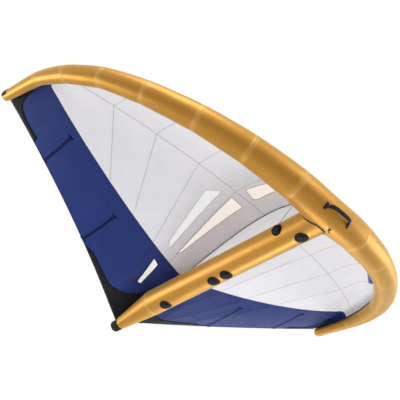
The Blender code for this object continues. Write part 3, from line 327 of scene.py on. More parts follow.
class Tree:
    """A node tree under construction."""

    def __init__(self, owner):
        owner.use_nodes = True
        self.nodes = owner.node_tree.nodes
        self.links = owner.node_tree.links

    def fill(self, node, key, value):
        """Link a value to a socket, or give the socket a number or a colour."""
        if isinstance(key, int):
            socket = node.inputs[key]
        else:
            socket = next(s for s in node.inputs if s.name == key and s.enabled)
        if isinstance(value, Value):
            self.links.new(value.socket, socket)
        elif socket.type == "RGBA" and len(value) == 3:
            socket.default_value = (*value, 1.0)
        else:
            socket.default_value = value

    def add(self, kind, settings=None, values=None, out=0):
        """A node with its settings made first, then its sockets filled."""
        node = self.nodes.new(kind)
        for key, value in (settings or {}).items():
            setattr(node, key, value)
        for key, value in (values or {}).items():
            self.fill(node, key, value)
        return Value(self, node.outputs[out]) if node.outputs else None

    def larger(self, a, b):
        return self.add("ShaderNodeMath", {"operation": "MAXIMUM"}, {0: a, 1: b})


class Look(Tree):
    """One material under construction, with its Principled shader."""

    def __init__(self, name, **constants):
        self.material = bpy.data.materials.new(name)
        super().__init__(self.material)
        self.shader = self.nodes["Principled BSDF"]
        self.feed(**constants)

    def feed(self, **values):
        """Set sockets of the shader, or link what varies over the surface to them."""
        for key, value in values.items():
            self.fill(self.shader, key.replace("_", " ").title().replace("Ior", "IOR"), value)

    def mixed(self, share, a, b):
        values = {"Factor": share, "A": a, "B": b}
        return self.add("ShaderNodeMix", {"data_type": "RGBA"}, values, out=2)

    def spread(self, value, low, high):
        """How far a value is on its way from low to high, kept between 0 and 1."""
        values = {"Value": value, "From Min": low, "From Max": high}
        return self.add("ShaderNodeMapRange", {}, values)

    def noise(self, where, scale, detail=3.0, rough=0.55):
        values = {"Vector": where, "Scale": scale, "Detail": detail, "Roughness": rough}
        return self.add("ShaderNodeTexNoise", {}, values)

    def place(self):
        return self.add("ShaderNodeTexCoord", out=3)

    def parts(self, vector):
        """The first two parts of a vector."""
        return [self.add("ShaderNodeSeparateXYZ", {}, {"Vector": vector}, out=k) for k in (0, 1)]

    def cloth_uv(self):
        return self.add("ShaderNodeUVMap", {"uv_map": "cloth"})

    def attribute(self, name):
        return self.add("ShaderNodeAttribute", {"attribute_name": name}, out=2)

    def bump(self, height, depth):
        return self.add("ShaderNodeBump", {}, {"Height": height, "Distance": depth})


def toned(colour, level):
    return tuple(part * level for part in colour)


def thread_line(look, along, pitch, width_share):
    """One where a thread crosses, zero between threads."""
    ripple = abs((along / pitch) % 1.0 - 0.5) * 2.0
    return look.spread(ripple, 1.0 - 2 * width_share, 1.0)


def weave(look, x, y, pitch, width_share):
    return thread_line(look, x, pitch, width_share) + thread_line(look, y, pitch, width_share)


def ripstop(look, where, pitch=5 * MM):
    """Fine weave and the coarser grid in it."""
    x, y = look.parts(where)
    return weave(look, x, y, pitch / 8, 0.3), weave(look, x, y, pitch, 0.06)


def stitch_rows(look, across, along, rows, width, length):
    """Dashes of thread along a tape, at given distances across it."""
    dash = look.spread(abs((along / length) % 1.0 - 0.5), 0.34, 0.26)
    total = None
    for row in rows:
        line = look.spread(abs(across - row), width, width * 0.4)
        total = line if total is None else look.larger(total, line)
    return total * dash


def gold_cloth(colours):
    """Satin cloth of the air tubes, with taped and stitched laps at the kinks."""
    look = Look("gold_satin", metallic=0.5, sheen_weight=0.35, sheen_roughness=0.5,
                specular_ior_level=0.5, ior=2.1, specular_tint=(1.0, 0.97, 0.50),
                sheen_tint=(1.0, 0.87, 0.48))
    uv = look.cloth_uv()
    along, around = look.parts(uv)
    lap = look.attribute("lap")
    streaks = look.add("ShaderNodeMapping", {}, {"Vector": uv, "Scale": (2.2, 26.0, 1.0)})
    tone = look.noise(streaks, 1.0, 4.0)
    threads = weave(look, along, around, 1.1 * MM, 0.4)
    creases = look.noise(uv, 26.0, 2.0, 0.5)
    taped = look.spread(abs(lap), 26 * MM, 8 * MM)
    stitches = stitch_rows(look, abs(lap), around, (4.0 * MM, 8.0 * MM), 0.9 * MM, 5 * MM)
    shade = look.spread(tone, 0.35, 0.75) * 0.6
    colour = look.mixed(shade, tuple(colours.gold), tuple(colours.gold_shade))
    colour = look.mixed(taped * 0.16, colour, (0.84, 0.56, 0.20))
    colour = look.mixed(stitches * 0.25, colour, (0.86, 0.62, 0.30))
    relief = threads * 0.012 + creases * 0.5 + stitches * 0.4
    look.feed(base_color=colour, roughness=0.40 + creases * 0.08 + taped * 0.05,
              normal=look.bump(relief, 0.8 * MM))
    return look.material


def gold_finish(context):
    """The one gold cloth that the tubes share."""
    return bpy.data.materials.get("gold_satin") or gold_cloth(context.scene.wing_colours)


def canopy_cloth(name, colour, dark, rough, sheen, sheen_tint, gloss=0.45, bar=None):
    """Coated ripstop: a fine weave with a coarser grid, softly mottled."""
    look = Look(name, sheen_weight=sheen, sheen_roughness=0.22, sheen_tint=sheen_tint,
                specular_ior_level=gloss)
    where = look.place()
    fine, coarse = ripstop(look, where)
    mottle = look.noise(where, 2.3, 4.0)
    creases = look.noise(where, 9.0, 6.0, 0.6)
    tone = look.spread(mottle, 0.3, 0.75) * 0.5 + look.spread(creases, 0.4, 0.8) * 0.25
    base = look.mixed(tone, colour, dark)
    base = look.mixed(coarse * 0.10, base, toned(dark, 0.8))
    # Painted shadow of a batten seen through the cloth, where the mesh marks it
    if bar is not None:
        base = look.mixed(look.spread(look.attribute("bar"), 0.35, 0.65), base, bar)
    relief = fine * 0.05 + coarse * 0.12 + creases * 0.9
    look.feed(base_color=base, roughness=rough + creases * 0.12, normal=look.bump(relief, 1.2 * MM))
    return look.material


def window_film(name, colour, alpha):
    """Clear film, faintly hazed and creased."""
    look = Look(name, specular_ior_level=0.4, coat_roughness=0.15, alpha=alpha)
    where = look.place()
    haze = look.noise(where, 6.0, 5.0)
    creases = look.noise(where, 22.0, 3.0, 0.7)
    base = look.mixed(look.spread(haze, 0.35, 0.7) * 0.35, colour, toned(colour, 0.9))
    look.feed(base_color=base, roughness=0.16 + haze * 0.14, coat_weight=0.2 + haze * 0.2,
              normal=look.bump(creases, 0.8 * MM))
    return look.material


def sewn_tape(name, colour, thread):
    """Narrow woven tape with two rows of stitching."""
    look = Look(name, sheen_weight=0.05, specular_ior_level=0.2)
    uv = look.cloth_uv()
    along, across = look.parts(uv)
    threads = weave(look, along, across, 0.8 * MM, 0.4)
    rows = stitch_rows(look, abs(across), along, (2.0 * MM,), 0.7 * MM, 4 * MM)
    base = look.mixed(look.spread(look.noise(uv, 20.0), 0.3, 0.7) * 0.4, colour, toned(colour, 0.7))
    look.feed(base_color=look.mixed(rows * 0.8, base, thread), roughness=0.6 + threads * 0.05,
              normal=look.bump(threads * 0.3 + rows, 0.4 * MM))
    return look.material


def black_moulding(name, colour, rough):
    """Moulded plastic with a fine grain and rubbed edges."""
    look = Look(name, specular_ior_level=0.15)
    where = look.place()
    grain = look.noise(where, 900.0, 2.0)
    wear = look.noise(where, 45.0, 5.0, 0.65)
    rubbed = look.spread(look.add("ShaderNodeNewGeometry", out="Pointiness"), 0.53, 0.62)
    base = look.mixed(look.spread(wear, 0.45, 0.8) * 0.4, colour, toned(colour, 1.7))
    look.feed(base_color=look.mixed(rubbed * 0.35, base, toned(colour, 3.5)),
              roughness=rough + wear * 0.16 - rubbed * 0.08,
              normal=look.bump(grain + wear * 0.4, 0.12 * MM))
    return look.material


def webbing(name, colour):
    """Ribbed nylon webbing."""
    look = Look(name, sheen_weight=0.12, sheen_roughness=0.5, specular_ior_level=0.25)
    uv = look.cloth_uv()
    along, across = look.parts(uv)
    slant = thread_line(look, along + abs(across) * 0.6, 1.7 * MM, 0.4)
    ribs = thread_line(look, across, 1.4 * MM, 0.35)
    fluff = look.noise(uv, 260.0)
    look.feed(base_color=look.mixed(slant * 0.5 + ribs * 0.2, colour, toned(colour, 1.8)),
              roughness=0.72 + fluff * 0.1,
              normal=look.bump(slant * 0.7 + ribs * 0.5 + fluff * 0.15, 0.5 * MM))
    return look.material


def patch_cloth(name, colour, light):
    """Heavy coated cloth of the reinforcing patches."""
    look = Look(name, sheen_weight=0.4, sheen_roughness=0.25, sheen_tint=(0.80, 0.84, 1.0),
                specular_ior_level=0.12)
    where = look.place()
    fine, coarse = ripstop(look, where, 3 * MM)
    rub = look.noise(where, 16.0, 5.0)
    look.feed(base_color=look.mixed(look.spread(rub, 0.4, 0.75) * 0.5, colour, light),
              roughness=0.55 + rub * 0.15,
              normal=look.bump(fine * 0.2 + coarse * 0.3 + rub * 0.5, 0.6 * MM))
    return look.material


# The form that every piece is drawn on

def mix(a, b, share):
    return a + (b - a) * share


def smooth(share):
    """A share that leaves 0 and reaches 1 gently."""
    share = min(max(share, 0.0), 1.0)
    return share * share * (3 - 2 * share)


def bent(value, power):
    """A value between -1 and 1, drawn towards its ends by a power below one."""
    return math.copysign(abs(value) ** power, value)


def spoke(angle, level, above):
    """Direction at an angle from one direction to another."""
    return math.cos(angle) * level + math.sin(angle) * above


def upright(angle):
    """Direction round the strut; the angle runs from port up."""
    return Vector((math.cos(angle), 0, math.sin(angle)))


def ring_angles(sides):
    """Even angles once round."""
    return [2 * math.pi * s / sides for s in range(sides)]


def arch_shape(share):
    """Arch of the canopy along its chord, before it is scaled."""
    return share ** ARCH_RISE * (1 - share) ** ARCH_FALL


class WingForm:
    """Axis of the leading edge, shape of the strut and surface of the canopy."""

    def __init__(self, sizes):
        self.sizes = sizes
        self.tip_x = COLUMN_SHARES[-1][3] * sizes.half_span
        indexes = range(-LAST_KINK, LAST_KINK + 1)
        self.kinks = [self.kink(index) for index in indexes]
        self.radii = [self.kink_radius(index) for index in indexes]
        places = np.linspace(0, LAST_KINK, LAST_KINK * 16 + 1)
        self.seam = np.array([self.seam_point(place) for place in places])
        self.band_line = self.plan_line(2, 0, MAIN_LAST)
        self.long_line = self.plan_line(1, 0, FRONT_LAST)
        self.seams = self.sewn_lines()

    def kink(self, index):
        """Point of the leading edge's axis at a kink, counted from the centre to port."""
        if index == 0:
            return Vector((0, CENTRE_SET_BACK, 0)) + ORIGIN
        shares = KINK_SHARES[abs(index) - 1]
        side = 1 if index > 0 else -1
        sizes = self.sizes
        return Vector((side * shares[0] * sizes.half_span, shares[1] * sizes.sweep,
                       shares[2] * sizes.tip_rise)) + ORIGIN

    def kink_radius(self, index):
        return self.sizes.edge_radius * (KINK_SHARES[abs(index) - 1][3] if index else 1)

    def edge_axis(self, place):
        """Smooth axis and radius at a place along the leading edge."""
        shifted = min(max(float(place) + LAST_KINK, 0.0), 2 * LAST_KINK - 1e-6)
        low = int(shifted)
        share = shifted - low
        last = 2 * LAST_KINK

        def at(items, k):
            if k < 0:
                return items[0] * 2 - items[1]
            if k > last:
                return items[last] * 2 - items[last - 1]
            return items[k]

        def blend(items):
            a, b, c, d = (at(items, low + step) for step in (-1, 0, 1, 2))
            return (b * 2 + (c - a) * share + (a * 2 - b * 5 + c * 4 - d) * share ** 2
                    + (b * 3 - a - c * 3 + d) * share ** 3) * 0.5

        straight = self.sizes.kink
        axis = blend(self.kinks).lerp(
            at(self.kinks, low).lerp(at(self.kinks, low + 1), share), straight)
        radius = mix(blend(self.radii), mix(at(self.radii, low), at(self.radii, low + 1), share),
                     straight)
        return axis, radius

    def edge_frame(self, place):
        """Tangent, rearward and upward directions along the leading edge."""
        step = 0.04
        before, _ = self.edge_axis(place - step)
        after, _ = self.edge_axis(place + step)
        along = (after - before).normalized()
        rear = UP.cross(along).normalized()
        return along, rear, along.cross(rear)

    def edge_point(self, place, angle, lift=0.0):
        """Point on the tube; the angle runs from the rear up."""
        axis, radius = self.edge_axis(place)
        _, rear, above = self.edge_frame(place)
        return axis + (radius + lift) * spoke(angle, rear, above)

    def seam_point(self, place):
        return self.edge_point(place, SEAM_ANGLE, SEAM_LIFT)

    def seam_plan(self, place):
        return np.array(self.seam_point(place)[:2])

    def taper(self, y):
        """How far the strut has narrowed at a place behind the centre."""
        sizes = self.sizes
        return np.clip((y - sizes.taper_start) / (sizes.sleeve_end - sizes.taper_start), 0, 1)

    def strut_radius(self, y):
        return mix(self.sizes.strut_radius, self.sizes.tail_radius, self.taper(y))

    def strut_axis(self, y):
        """Height of the strut's axis at a place behind the centre."""
        sizes = self.sizes
        return ORIGIN.z - sizes.strut_drop - (sizes.strut_radius - self.strut_radius(y))

    def trailing(self, x):
        """Place and height of the trailing edge at a distance from the root."""
        sizes = self.sizes
        share = x / self.tip_x
        bow = 4 * share * (1 - share)
        y = mix(sizes.root_chord, sizes.tip_chord_y, share)
        y = y + TRAILING_BOW * (sizes.tip_chord_y - sizes.root_chord) * bow
        z = mix(TRAILING_ROOT, TRAILING_TIP, share) - TRAILING_DIP * TRAILING_RISE * bow
        return y + ORIGIN.y, z + ORIGIN.z

    def trailing_run(self, xs, room=0.0):
        """Plan points along the trailing edge, a little in front of it."""
        return np.stack([xs, self.trailing(xs)[0] - room], 1)

    def plain_height(self, x, y):
        """Height of the arched canopy before the root lifts it."""
        front_y = np.interp(x, self.seam[:, 0], self.seam[:, 1])
        front_z = np.interp(x, self.seam[:, 0], self.seam[:, 2])
        back_y, back_z = self.trailing(x)
        chord = np.maximum(back_y - front_y, 1 * MM)
        share = (y - front_y) / chord
        arch = arch_shape(np.clip(share, 0.0, 1.0)) / arch_shape(ARCH_PEAK)
        return front_z + (back_z - front_z) * share + self.sizes.camber * chord * arch

    def root_height(self, y):
        """Height over the strut, where the web carries the canopy."""
        plain = self.plain_height(np.zeros_like(y), y)
        back = y - ORIGIN.y
        carried = self.strut_axis(back) + self.strut_radius(back) + WEB_GAP
        return np.maximum(plain, carried + (WEB_TAIL_GAP - WEB_GAP) * self.taper(back))

    def height(self, x, y):
        """Height of the canopy, with the billow between its seams."""
        x = np.abs(np.asarray(x, float))
        y = np.asarray(y, float)
        lift = self.root_height(y) - self.plain_height(np.zeros_like(y), y)
        fade = np.maximum(0.0, 1 - (x / ROOT_LIFT_WIDTH) ** 2)
        return self.plain_height(x, y) + lift * fade + self.billow(x, y)

    def billow(self, x, y):
        """How far the cloth lifts away from the lines that hold it."""
        distance = self.seam_distance(x, y)
        return self.sizes.billow * (1 - np.exp(-(distance / BILLOW_REACH) ** 2))

    def seam_distance(self, x, y):
        """Plan distance from the nearest line where the cloth is held."""
        best = np.full(x.shape, 9.0)
        for line in self.seams:
            for a, b in zip(line[:-1], line[1:]):
                d = b - a
                t = np.clip(((x - a[0]) * d[0] + (y - a[1]) * d[1]) / max(d @ d, 1e-12), 0, 1)
                best = np.minimum(best, np.hypot(x - a[0] - t * d[0], y - a[1] - t * d[1]))
        return best

    def sewn_lines(self):
        """Plan lines where the canopy is held: seams, front, tail and root."""
        return [self.long_line, self.band_line, self.seam[:, :2][::4],
                self.trailing_run(np.linspace(0, self.tip_x, 24)),
                np.array([[0, self.seam[0, 1]], [0, self.sizes.root_chord + ORIGIN.y]]),
                *map(self.sewn_column, SEWN_COLUMNS)]

    def sewn_column(self, column):
        """Plan points of a radial seam on the four rows, front to back."""
        return np.array([self.plan_point(column, row) for row in range(4)])

    def seam_line(self, shares, x):
        """Place of a bowed seam at a distance from the root."""
        across = x / self.sizes.half_span
        root, tip = shares[0] * self.sizes.root_chord, shares[1] * self.sizes.sweep
        bow = shares[2] * (tip - root) * 4 * across * (1 - across)
        return mix(root, tip, across) + bow + ORIGIN.y

    def column_point(self, column, row):
        """Plan point of a column on the front, the long seam, the band seam or the back."""
        shares = COLUMN_SHARES[column]
        if row == 0 or (row == 2 and column >= MAIN_LAST):
            return self.seam_plan(shares[0])
        if row == 1 and column >= FRONT_LAST:
            turn = SEAM_END_SHARE if column == FRONT_LAST else -SEAM_END_SHARE
            return self.seam_plan(shares[0] + turn)
        x = shares[row] * self.sizes.half_span
        if row == 3:
            return np.array((x, self.trailing(x)[0]))
        return np.array((x, self.seam_line(LONG_SEAM_SHARES if row == 1 else BAND_SEAM_SHARES, x)))

    def plan_point(self, place, row):
        """Plan point of a row between two columns, kept on the row's own line."""
        low = min(int(place), len(COLUMN_SHARES) - 2)
        point = mix(self.column_point(low, row), self.column_point(low + 1, row), place - low)
        if row == 3:
            return np.array((point[0], self.trailing(point[0])[0]))
        if row == 1 and low + 1 < FRONT_LAST:
            return np.array((point[0], self.seam_line(LONG_SEAM_SHARES, point[0])))
        if row == 2 and low + 1 < MAIN_LAST:
            return np.array((point[0], self.seam_line(BAND_SEAM_SHARES, point[0])))
        return point

    def plan_line(self, row, first, last):
        places = np.linspace(first, last, (last - first) * LINE_STEPS + 1)
        return np.array([self.plan_point(min(place, last - 1e-9), row) for place in places])

    def plan_share(self, x, y):
        """A plan place given in half spans and root chords."""
        return np.array((x * self.sizes.half_span, y * self.sizes.root_chord + ORIGIN.y))

    def plan_shares(self, pairs):
        return np.array([self.plan_share(x, y) for x, y in pairs])

    def on_canopy(self, points, lift=0.0):
        """Points on the canopy over plan points, moved along its normal."""
        points = np.asarray(points, float).reshape(-1, 2)
        x, y = points[:, 0], points[:, 1]
        z = self.height(x, y)
        if lift == 0.0:
            return np.column_stack([x, y, z])
        step = 3 * MM
        slope_x = (self.height(x + step, y) - self.height(x - step, y)) / (2 * step)
        slope_y = (self.height(x, y + step) - self.height(x, y - step)) / (2 * step)
        normal = np.column_stack([-slope_x, -slope_y, np.ones_like(x)])
        normal /= np.linalg.norm(normal, axis=1)[:, None]
        return np.column_stack([x, y, z]) + normal * lift


# Meshes

def add_piece(name, verts, faces, looks, body="wing", slot=None, stands_for=(), uv=None,
              slots=None, attributes=None, smooth_angle=40 * DEG, solid=0.0):
    """A finished piece from points and faces, riding on its body."""
    mesh = bpy.data.meshes.new(name)
    mesh.from_pydata([tuple(v) for v in verts], [], [tuple(f) for f in faces])
    mesh.update()
    if uv is not None:
        layer = mesh.uv_layers.new(name="cloth")
        flat = np.array(uv, np.float32).reshape(-1, 2)
        loops = np.zeros(len(mesh.loops), np.int32)
        mesh.loops.foreach_get("vertex_index", loops)
        if len(flat) == len(mesh.vertices):
            flat = flat[loops]
        layer.data.foreach_set("uv", flat.ravel())
    for key, values in (attributes or {}).items():
        attribute = mesh.attributes.new(key, "FLOAT", "POINT")
        attribute.data.foreach_set("value", np.array(values, np.float32))
    for look in looks:
        mesh.materials.append(look)
    if slots is not None:
        mesh.polygons.foreach_set("material_index", np.array(slots, np.int32))
    mesh.shade_smooth()
    mesh.set_sharp_from_angle(angle=smooth_angle)
    obj = bpy.data.objects.new(name, mesh)
    bpy.context.scene.collection.objects.link(obj)
    if solid:
        backing = obj.modifiers.new("thickness", "SOLIDIFY")
        backing.thickness = solid
        backing.offset = 0.0
    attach(obj, body)
    if stands_for:
        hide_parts(*stands_for)
    return obj


def closed_skin(rings, along, poles=(None, None), inward=False):
    """Points, faces and cloth places of a closed skin over rings of equal count."""
    sides = len(rings[0])
    verts = [Vector(point) for ring in rings for point in ring]
    runs = []
    for ring in rings:
        run = [0.0]
        for k in range(sides):
            run.append(run[-1] + (Vector(ring[(k + 1) % sides]) - Vector(ring[k])).length)
        runs.append(run)
    faces, uv = [], []

    def add_face(corners, places):
        faces.append(tuple(corners[::-1] if inward else corners))
        uv.extend(places[::-1] if inward else places)

    for k in range(len(rings) - 1):
        for a in range(sides):
            b = (a + 1) % sides
            add_face([k * sides + a, k * sides + b, (k + 1) * sides + b, (k + 1) * sides + a],
                     [(along[k], runs[k][a]), (along[k], runs[k][a + 1]),
                      (along[k + 1], runs[k + 1][a + 1]), (along[k + 1], runs[k + 1][a])])
    for pole, k in ((poles[0], 0), (poles[1], len(rings) - 1)):
        if pole is None:
            continue
        centre = len(verts)
        verts.append(Vector(pole))
        for a in range(sides):
            b = (a + 1) % sides
            pair = [k * sides + a, k * sides + b]
            corners = [centre] + (pair[::-1] if k == 0 else pair)
            add_face(corners, [(along[k], runs[k][a])] * 3)
    return verts, faces, uv


def joined(name, parts, looks, place=None, **kwargs):
    """One piece from several sets of points, faces and cloth places, set in a frame."""
    verts, faces, uv = [], [], []
    for part_verts, part_faces, part_uv in parts:
        base = len(verts)
        verts.extend(part_verts if place is None else [place @ v for v in part_verts])
        uv.extend(part_uv)
        faces.extend(tuple(v + base for v in f) for f in part_faces)
    return add_piece(name, verts, faces, looks, uv=uv, **kwargs)


def skin(name, rings, along, looks, poles=(None, None), inward=False, place=None, **kwargs):
    """A piece from one closed skin."""
    return joined(name, [closed_skin(rings, along, poles, inward)], looks, place, **kwargs)


def round_cord(name, points, radius, looks, sides=12, closed=False, lay=0.0, **kwargs):
    """Round cord along points, carried without twist; lay gives it twisted strands."""
    points = [Vector(p) for p in points]
    count = len(points)
    rings, along, run, guide = [], [], 0.0, None
    for k, point in enumerate(points):
        before = point - points[k - 1] if k or closed else points[1] - point
        after = points[(k + 1) % count] - point if k < count - 1 or closed else before
        course = (before.normalized() + after.normalized()).normalized()
        guide = course.orthogonal() if guide is None else guide
        guide = (guide - course * guide.dot(course)).normalized()
        other = course.cross(guide)
        run += before.length if k else 0.0
        ring = []
        for turn in ring_angles(sides):
            reach = radius * (1 + lay * math.cos(3 * (turn + 2 * math.pi * run / LAY_PITCH)))
            ring.append(point + reach * spoke(turn, guide, other))
        rings.append(ring)
        along.append(run)
    if closed:
        rings.append(rings[0])
        along.append(run + (points[0] - points[-1]).length)
        return skin(name, rings, along, looks, **kwargs)
    return skin(name, rings, along, looks, poles=(points[0], points[-1]), **kwargs)


def tape(name, stations, thickness, looks, **kwargs):
    """Flat webbing through stations of a point, two directions across and out, and a width."""
    rings, along, run, last = [], [], 0.0, None
    edge = thickness * 0.5
    for point, across, out, width in stations:
        run += (point - last).length if last is not None else 0.0
        last = point
        half = width / 2
        section = (
            (-half, -0.4), (-half + edge, -1.0), (0.0, -1.0), (half - edge, -1.0),
            (half, -0.4), (half, 0.4), (half - edge, 1.0), (half * 0.5, 1.06),
            (0.0, 1.0), (-half * 0.5, 1.06), (-half + edge, 1.0), (-half, 0.4),
        )
        ring = [point + across * x + out * z * edge for x, z in section]
        rings.append(ring)
        along.append(run)
    ends = (stations[0][0], stations[-1][0])
    return skin(name, rings, along, looks, poles=ends, **kwargs)


def grid(rows, count, base=0, closed=False, down=False):
    """Faces between rows of points; down starts each face along its column."""
    quads = []
    for row in range(base, base + (rows - 1) * count, count):
        for i in range(count if closed else count - 1):
            a, b = row + i, row + (i + 1) % count
            quads.append((a, a + count, b + count, b) if down else (a, b, b + count, a + count))
    return quads


def faced(faces, side):
    """Faces turned over for the other side."""
    return faces if side > 0 else [face[::-1] for face in faces]


def face_up(points, faces):
    """Turn over the triangles of a sheet that look down."""
    spans = points[faces]
    normal = np.cross(spans[:, 1] - spans[:, 0], spans[:, 2] - spans[:, 0])
    down = normal[:, 2] < 0
    faces[down] = faces[down][:, ::-1]


def ribbon(form, line, width, lift=1.0 * MM, closed=False):
    """Points, faces and cloth places of tape on both faces of the canopy."""
    line = resample(np.asarray(line, float), TAPE_STEP, closed)
    count = len(line)
    if closed:
        tangents = np.roll(line, -1, 0) - np.roll(line, 1, 0)
    else:
        tangents = np.gradient(line, axis=0)
    tangents /= np.linalg.norm(tangents, axis=1)[:, None]
    across = np.column_stack([-tangents[:, 1], tangents[:, 0]])
    run = np.concatenate([[0], np.cumsum(np.linalg.norm(np.diff(line, axis=0), axis=1))])
    shares = (-0.5, -0.42, 0.0, 0.42, 0.5)
    heights = (0.1, 1.0, 1.0 + TAPE_CROWN / lift, 1.0, 0.1)
    verts, uv, faces = [], [], []
    for side in (-1, 1):
        faces += faced(grid(len(shares), count, len(verts), closed), side)
        for share, height in zip(shares, heights):
            verts.extend(form.on_canopy(line + across * share * width, side * lift * height))
            uv.extend([(r, share * width) for r in run])
    return verts, faces, uv


def resample(line, step, closed=False):
    """Even points along a plan line, keeping its corners."""
    points = []
    ends = np.vstack([line, line[:1]]) if closed else line
    for a, b in zip(ends[:-1], ends[1:]):
        count = max(1, int(round(np.linalg.norm(b - a) / step)))
        points += [mix(a, b, k / count) for k in range(count)]
    if not closed:
        points.append(ends[-1])
    return np.array(points)


def rounded(points, turns=3):
    """An open outline with its corners cut to a smooth curve."""
    points = np.asarray(points, float)
    for _ in range(turns):
        cut = [points[0]]
        for a, b in zip(points[:-1], points[1:]):
            cut += [mix(a, b, 0.25), mix(a, b, 0.75)]
        cut.append(points[-1])
        points = np.array(cut)
    return points


def rounded_ring(points, radius):
    """A closed outline with rounded corners."""
    ring = []
    for k, corner in enumerate(points):
        back, ahead = points[k - 1] - corner, points[(k + 1) % len(points)] - corner
        reach = min(radius, np.linalg.norm(back) * 0.4, np.linalg.norm(ahead) * 0.4)
        start = corner + back / np.linalg.norm(back) * reach
        end = corner + ahead / np.linalg.norm(ahead) * reach
        for t in (0, 0.25, 0.5, 0.75, 1):
            ring.append(start * (1 - t) ** 2 + corner * 2 * t * (1 - t) + end * t ** 2)
    return np.array(ring)


def inside(points, outline):
    """Which plan points lie in an outline."""
    x, y = points[:, 0], points[:, 1]
    found = np.zeros(len(points), bool)
    for (x0, y0), (x1, y1) in zip(outline, np.roll(outline, -1, 0)):
        crosses = (y0 > y) != (y1 > y)
        at = x0 + (y - y0) * (x1 - x0) / np.where(abs(y1 - y0) < 1e-12, 1e-12, y1 - y0)
        found ^= crosses & (x < at)
    return found


def sheet_mesh(boundary, lines, rings, spacing):
    """Triangles over a plan outline that keep the given lines and rings as edges."""
    points, edges = [], []

    def add_line(line, closed=False):
        base = len(points)
        points.extend(map(tuple, line))
        count = len(line)
        for k in range(count if closed else count - 1):
            edges.append((base + k, base + (k + 1) % count))

    add_line(boundary, closed=True)
    outline = list(range(len(boundary)))
    for ring in rings:
        add_line(ring, closed=True)
    for line in lines:
        add_line(line)
    low, high = boundary.min(0), boundary.max(0)
    xs = np.arange(low[0] + spacing / 2, high[0], spacing)
    ys = np.arange(low[1] + spacing / 2, high[1], spacing * SHEET_ROW)
    filling = np.array([(x + (row % 2) * spacing / 2, y) for row, y in enumerate(ys) for x in xs])
    filling = filling[inside(filling, boundary)]
    near = np.array(points)
    keep = np.ones(len(filling), bool)
    for start in range(0, len(filling), SHEET_BATCH):
        part = slice(start, start + SHEET_BATCH)
        away = filling[part, None] - near[None]
        keep[part] = np.hypot(away[..., 0], away[..., 1]).min(1) > spacing * SHEET_ROOM
    points.extend(map(tuple, filling[keep]))
    result = geometry.delaunay_2d_cdt([Vector(p) for p in points], edges, [outline], 1, 1e-6)
    flat = np.array([tuple(v) for v in result[0]])
    faces = np.array([tuple(f) for f in result[2]])
    return flat, faces


# Operators

def sided(key, side):
    """Name of the piece on one half of the wing."""
    return f"{key}_{'port' if side > 0 else 'starboard'}"


def wrinkle(along, angle, reach, shift=0.0):
    """Small folds in the cloth round a tube."""
    return noise.noise(Vector((along, math.cos(angle) * reach, math.sin(angle) * reach + shift)))


class WING_OT_leading_edge(bpy.types.Operator):
    """Make the air tube of the leading edge, taped at its kinks"""

    bl_idname = "wing.leading_edge"
    bl_label = "Leading edge"

    def execute(self, context):
        form = WingForm(context.scene.wing_sizes)
        rings, along, laps = [], [], []
        run, last = 0.0, None
        for place, lap in edge_stations(form):
            axis, _ = form.edge_axis(place)
            run += (axis - last).length if last is not None else 0.0
            last = axis
            rings.append(edge_ring(form, place, lap))
            along.append(run)
            laps += [lap] * TUBE_SIDES
        sleeve = skin("leading_edge_tube", rings, along, [gold_finish(context)],
                      attributes={"lap": laps}, slot="gold_cloth",
                      stands_for=("leading_edge_sleeve", "leading_edge_bladder",
                                  "air_transfer_hose"))
        return {"FINISHED"}


def edge_stations(form):
    """Places along the tube, each with its distance from the nearest kink."""
    stations = []
    for index in range(-LAST_KINK, LAST_KINK):
        length = (form.kinks[index + LAST_KINK + 1] - form.kinks[index + LAST_KINK]).length
        near = [o * MM / length for o in LAP_OFFSETS if o >= 0]
        far = [1 + o * MM / length for o in LAP_OFFSETS if o < 0]
        count = max(2, int(length / 16 / MM))
        middle = list(np.linspace(near[-1], far[0], count + 2))[1:-1]
        for share in near + middle + far:
            lap = min(share, 1 - share, key=abs) * length * (1 if share < 0.5 else -1)
            centre = (index if share < 0.5 else index + 1) == 0
            stations.append((index + share, PLAIN if centre else lap))
    stations.append((float(LAST_KINK), 0.0))
    return stations


def edge_ring(form, place, lap):
    """Ring of the tube: drawn in at a kink, full between, puckered inside the bend."""
    axis, radius = form.edge_axis(place)
    _, rear, above = form.edge_frame(place)
    near = math.exp(-(lap / KINK_REACH) ** 2)
    drawn = -1.2 * MM * near
    lapped = LAP_LIFT if abs(lap) < LAP_EDGE else 0.0
    ring = []
    for angle in ring_angles(TUBE_SIDES):
        inner_side = max(0.0, math.cos(angle - 20 * DEG))
        pucker = 1.3 * MM * near * inner_side * math.sin(angle * 17 + place * 5)
        pucker *= abs(lap) / KINK_REACH + 0.3
        fold = 0.7 * MM * wrinkle(place * 2.2, angle, 1.6)
        ring.append(axis + spoke(angle, rear, above) * (radius + drawn + lapped + pucker + fold))
    return ring


class WING_OT_strut(bpy.types.Operator):
    """Make the strut's air tube, fitted to the leading edge"""

    bl_idname = "wing.strut"
    bl_label = "Strut"

    def execute(self, context):
        form = WingForm(context.scene.wing_sizes)
        rings = [junction_ring(form, TUBE_SIDES, -2 * MM)]
        along, laps = [60 * MM], [PLAIN] * TUBE_SIDES
        for y, lap in strut_stations(form):
            rings.append(strut_ring(form, y, lap))
            along.append(y)
            laps += [lap] * TUBE_SIDES
        sleeve = skin("strut_tube", rings, along, [gold_finish(context)], attributes={"lap": laps},
                      slot="gold_cloth", stands_for=("strut_sleeve", "strut_bladder"), inward=True)
        return {"FINISHED"}


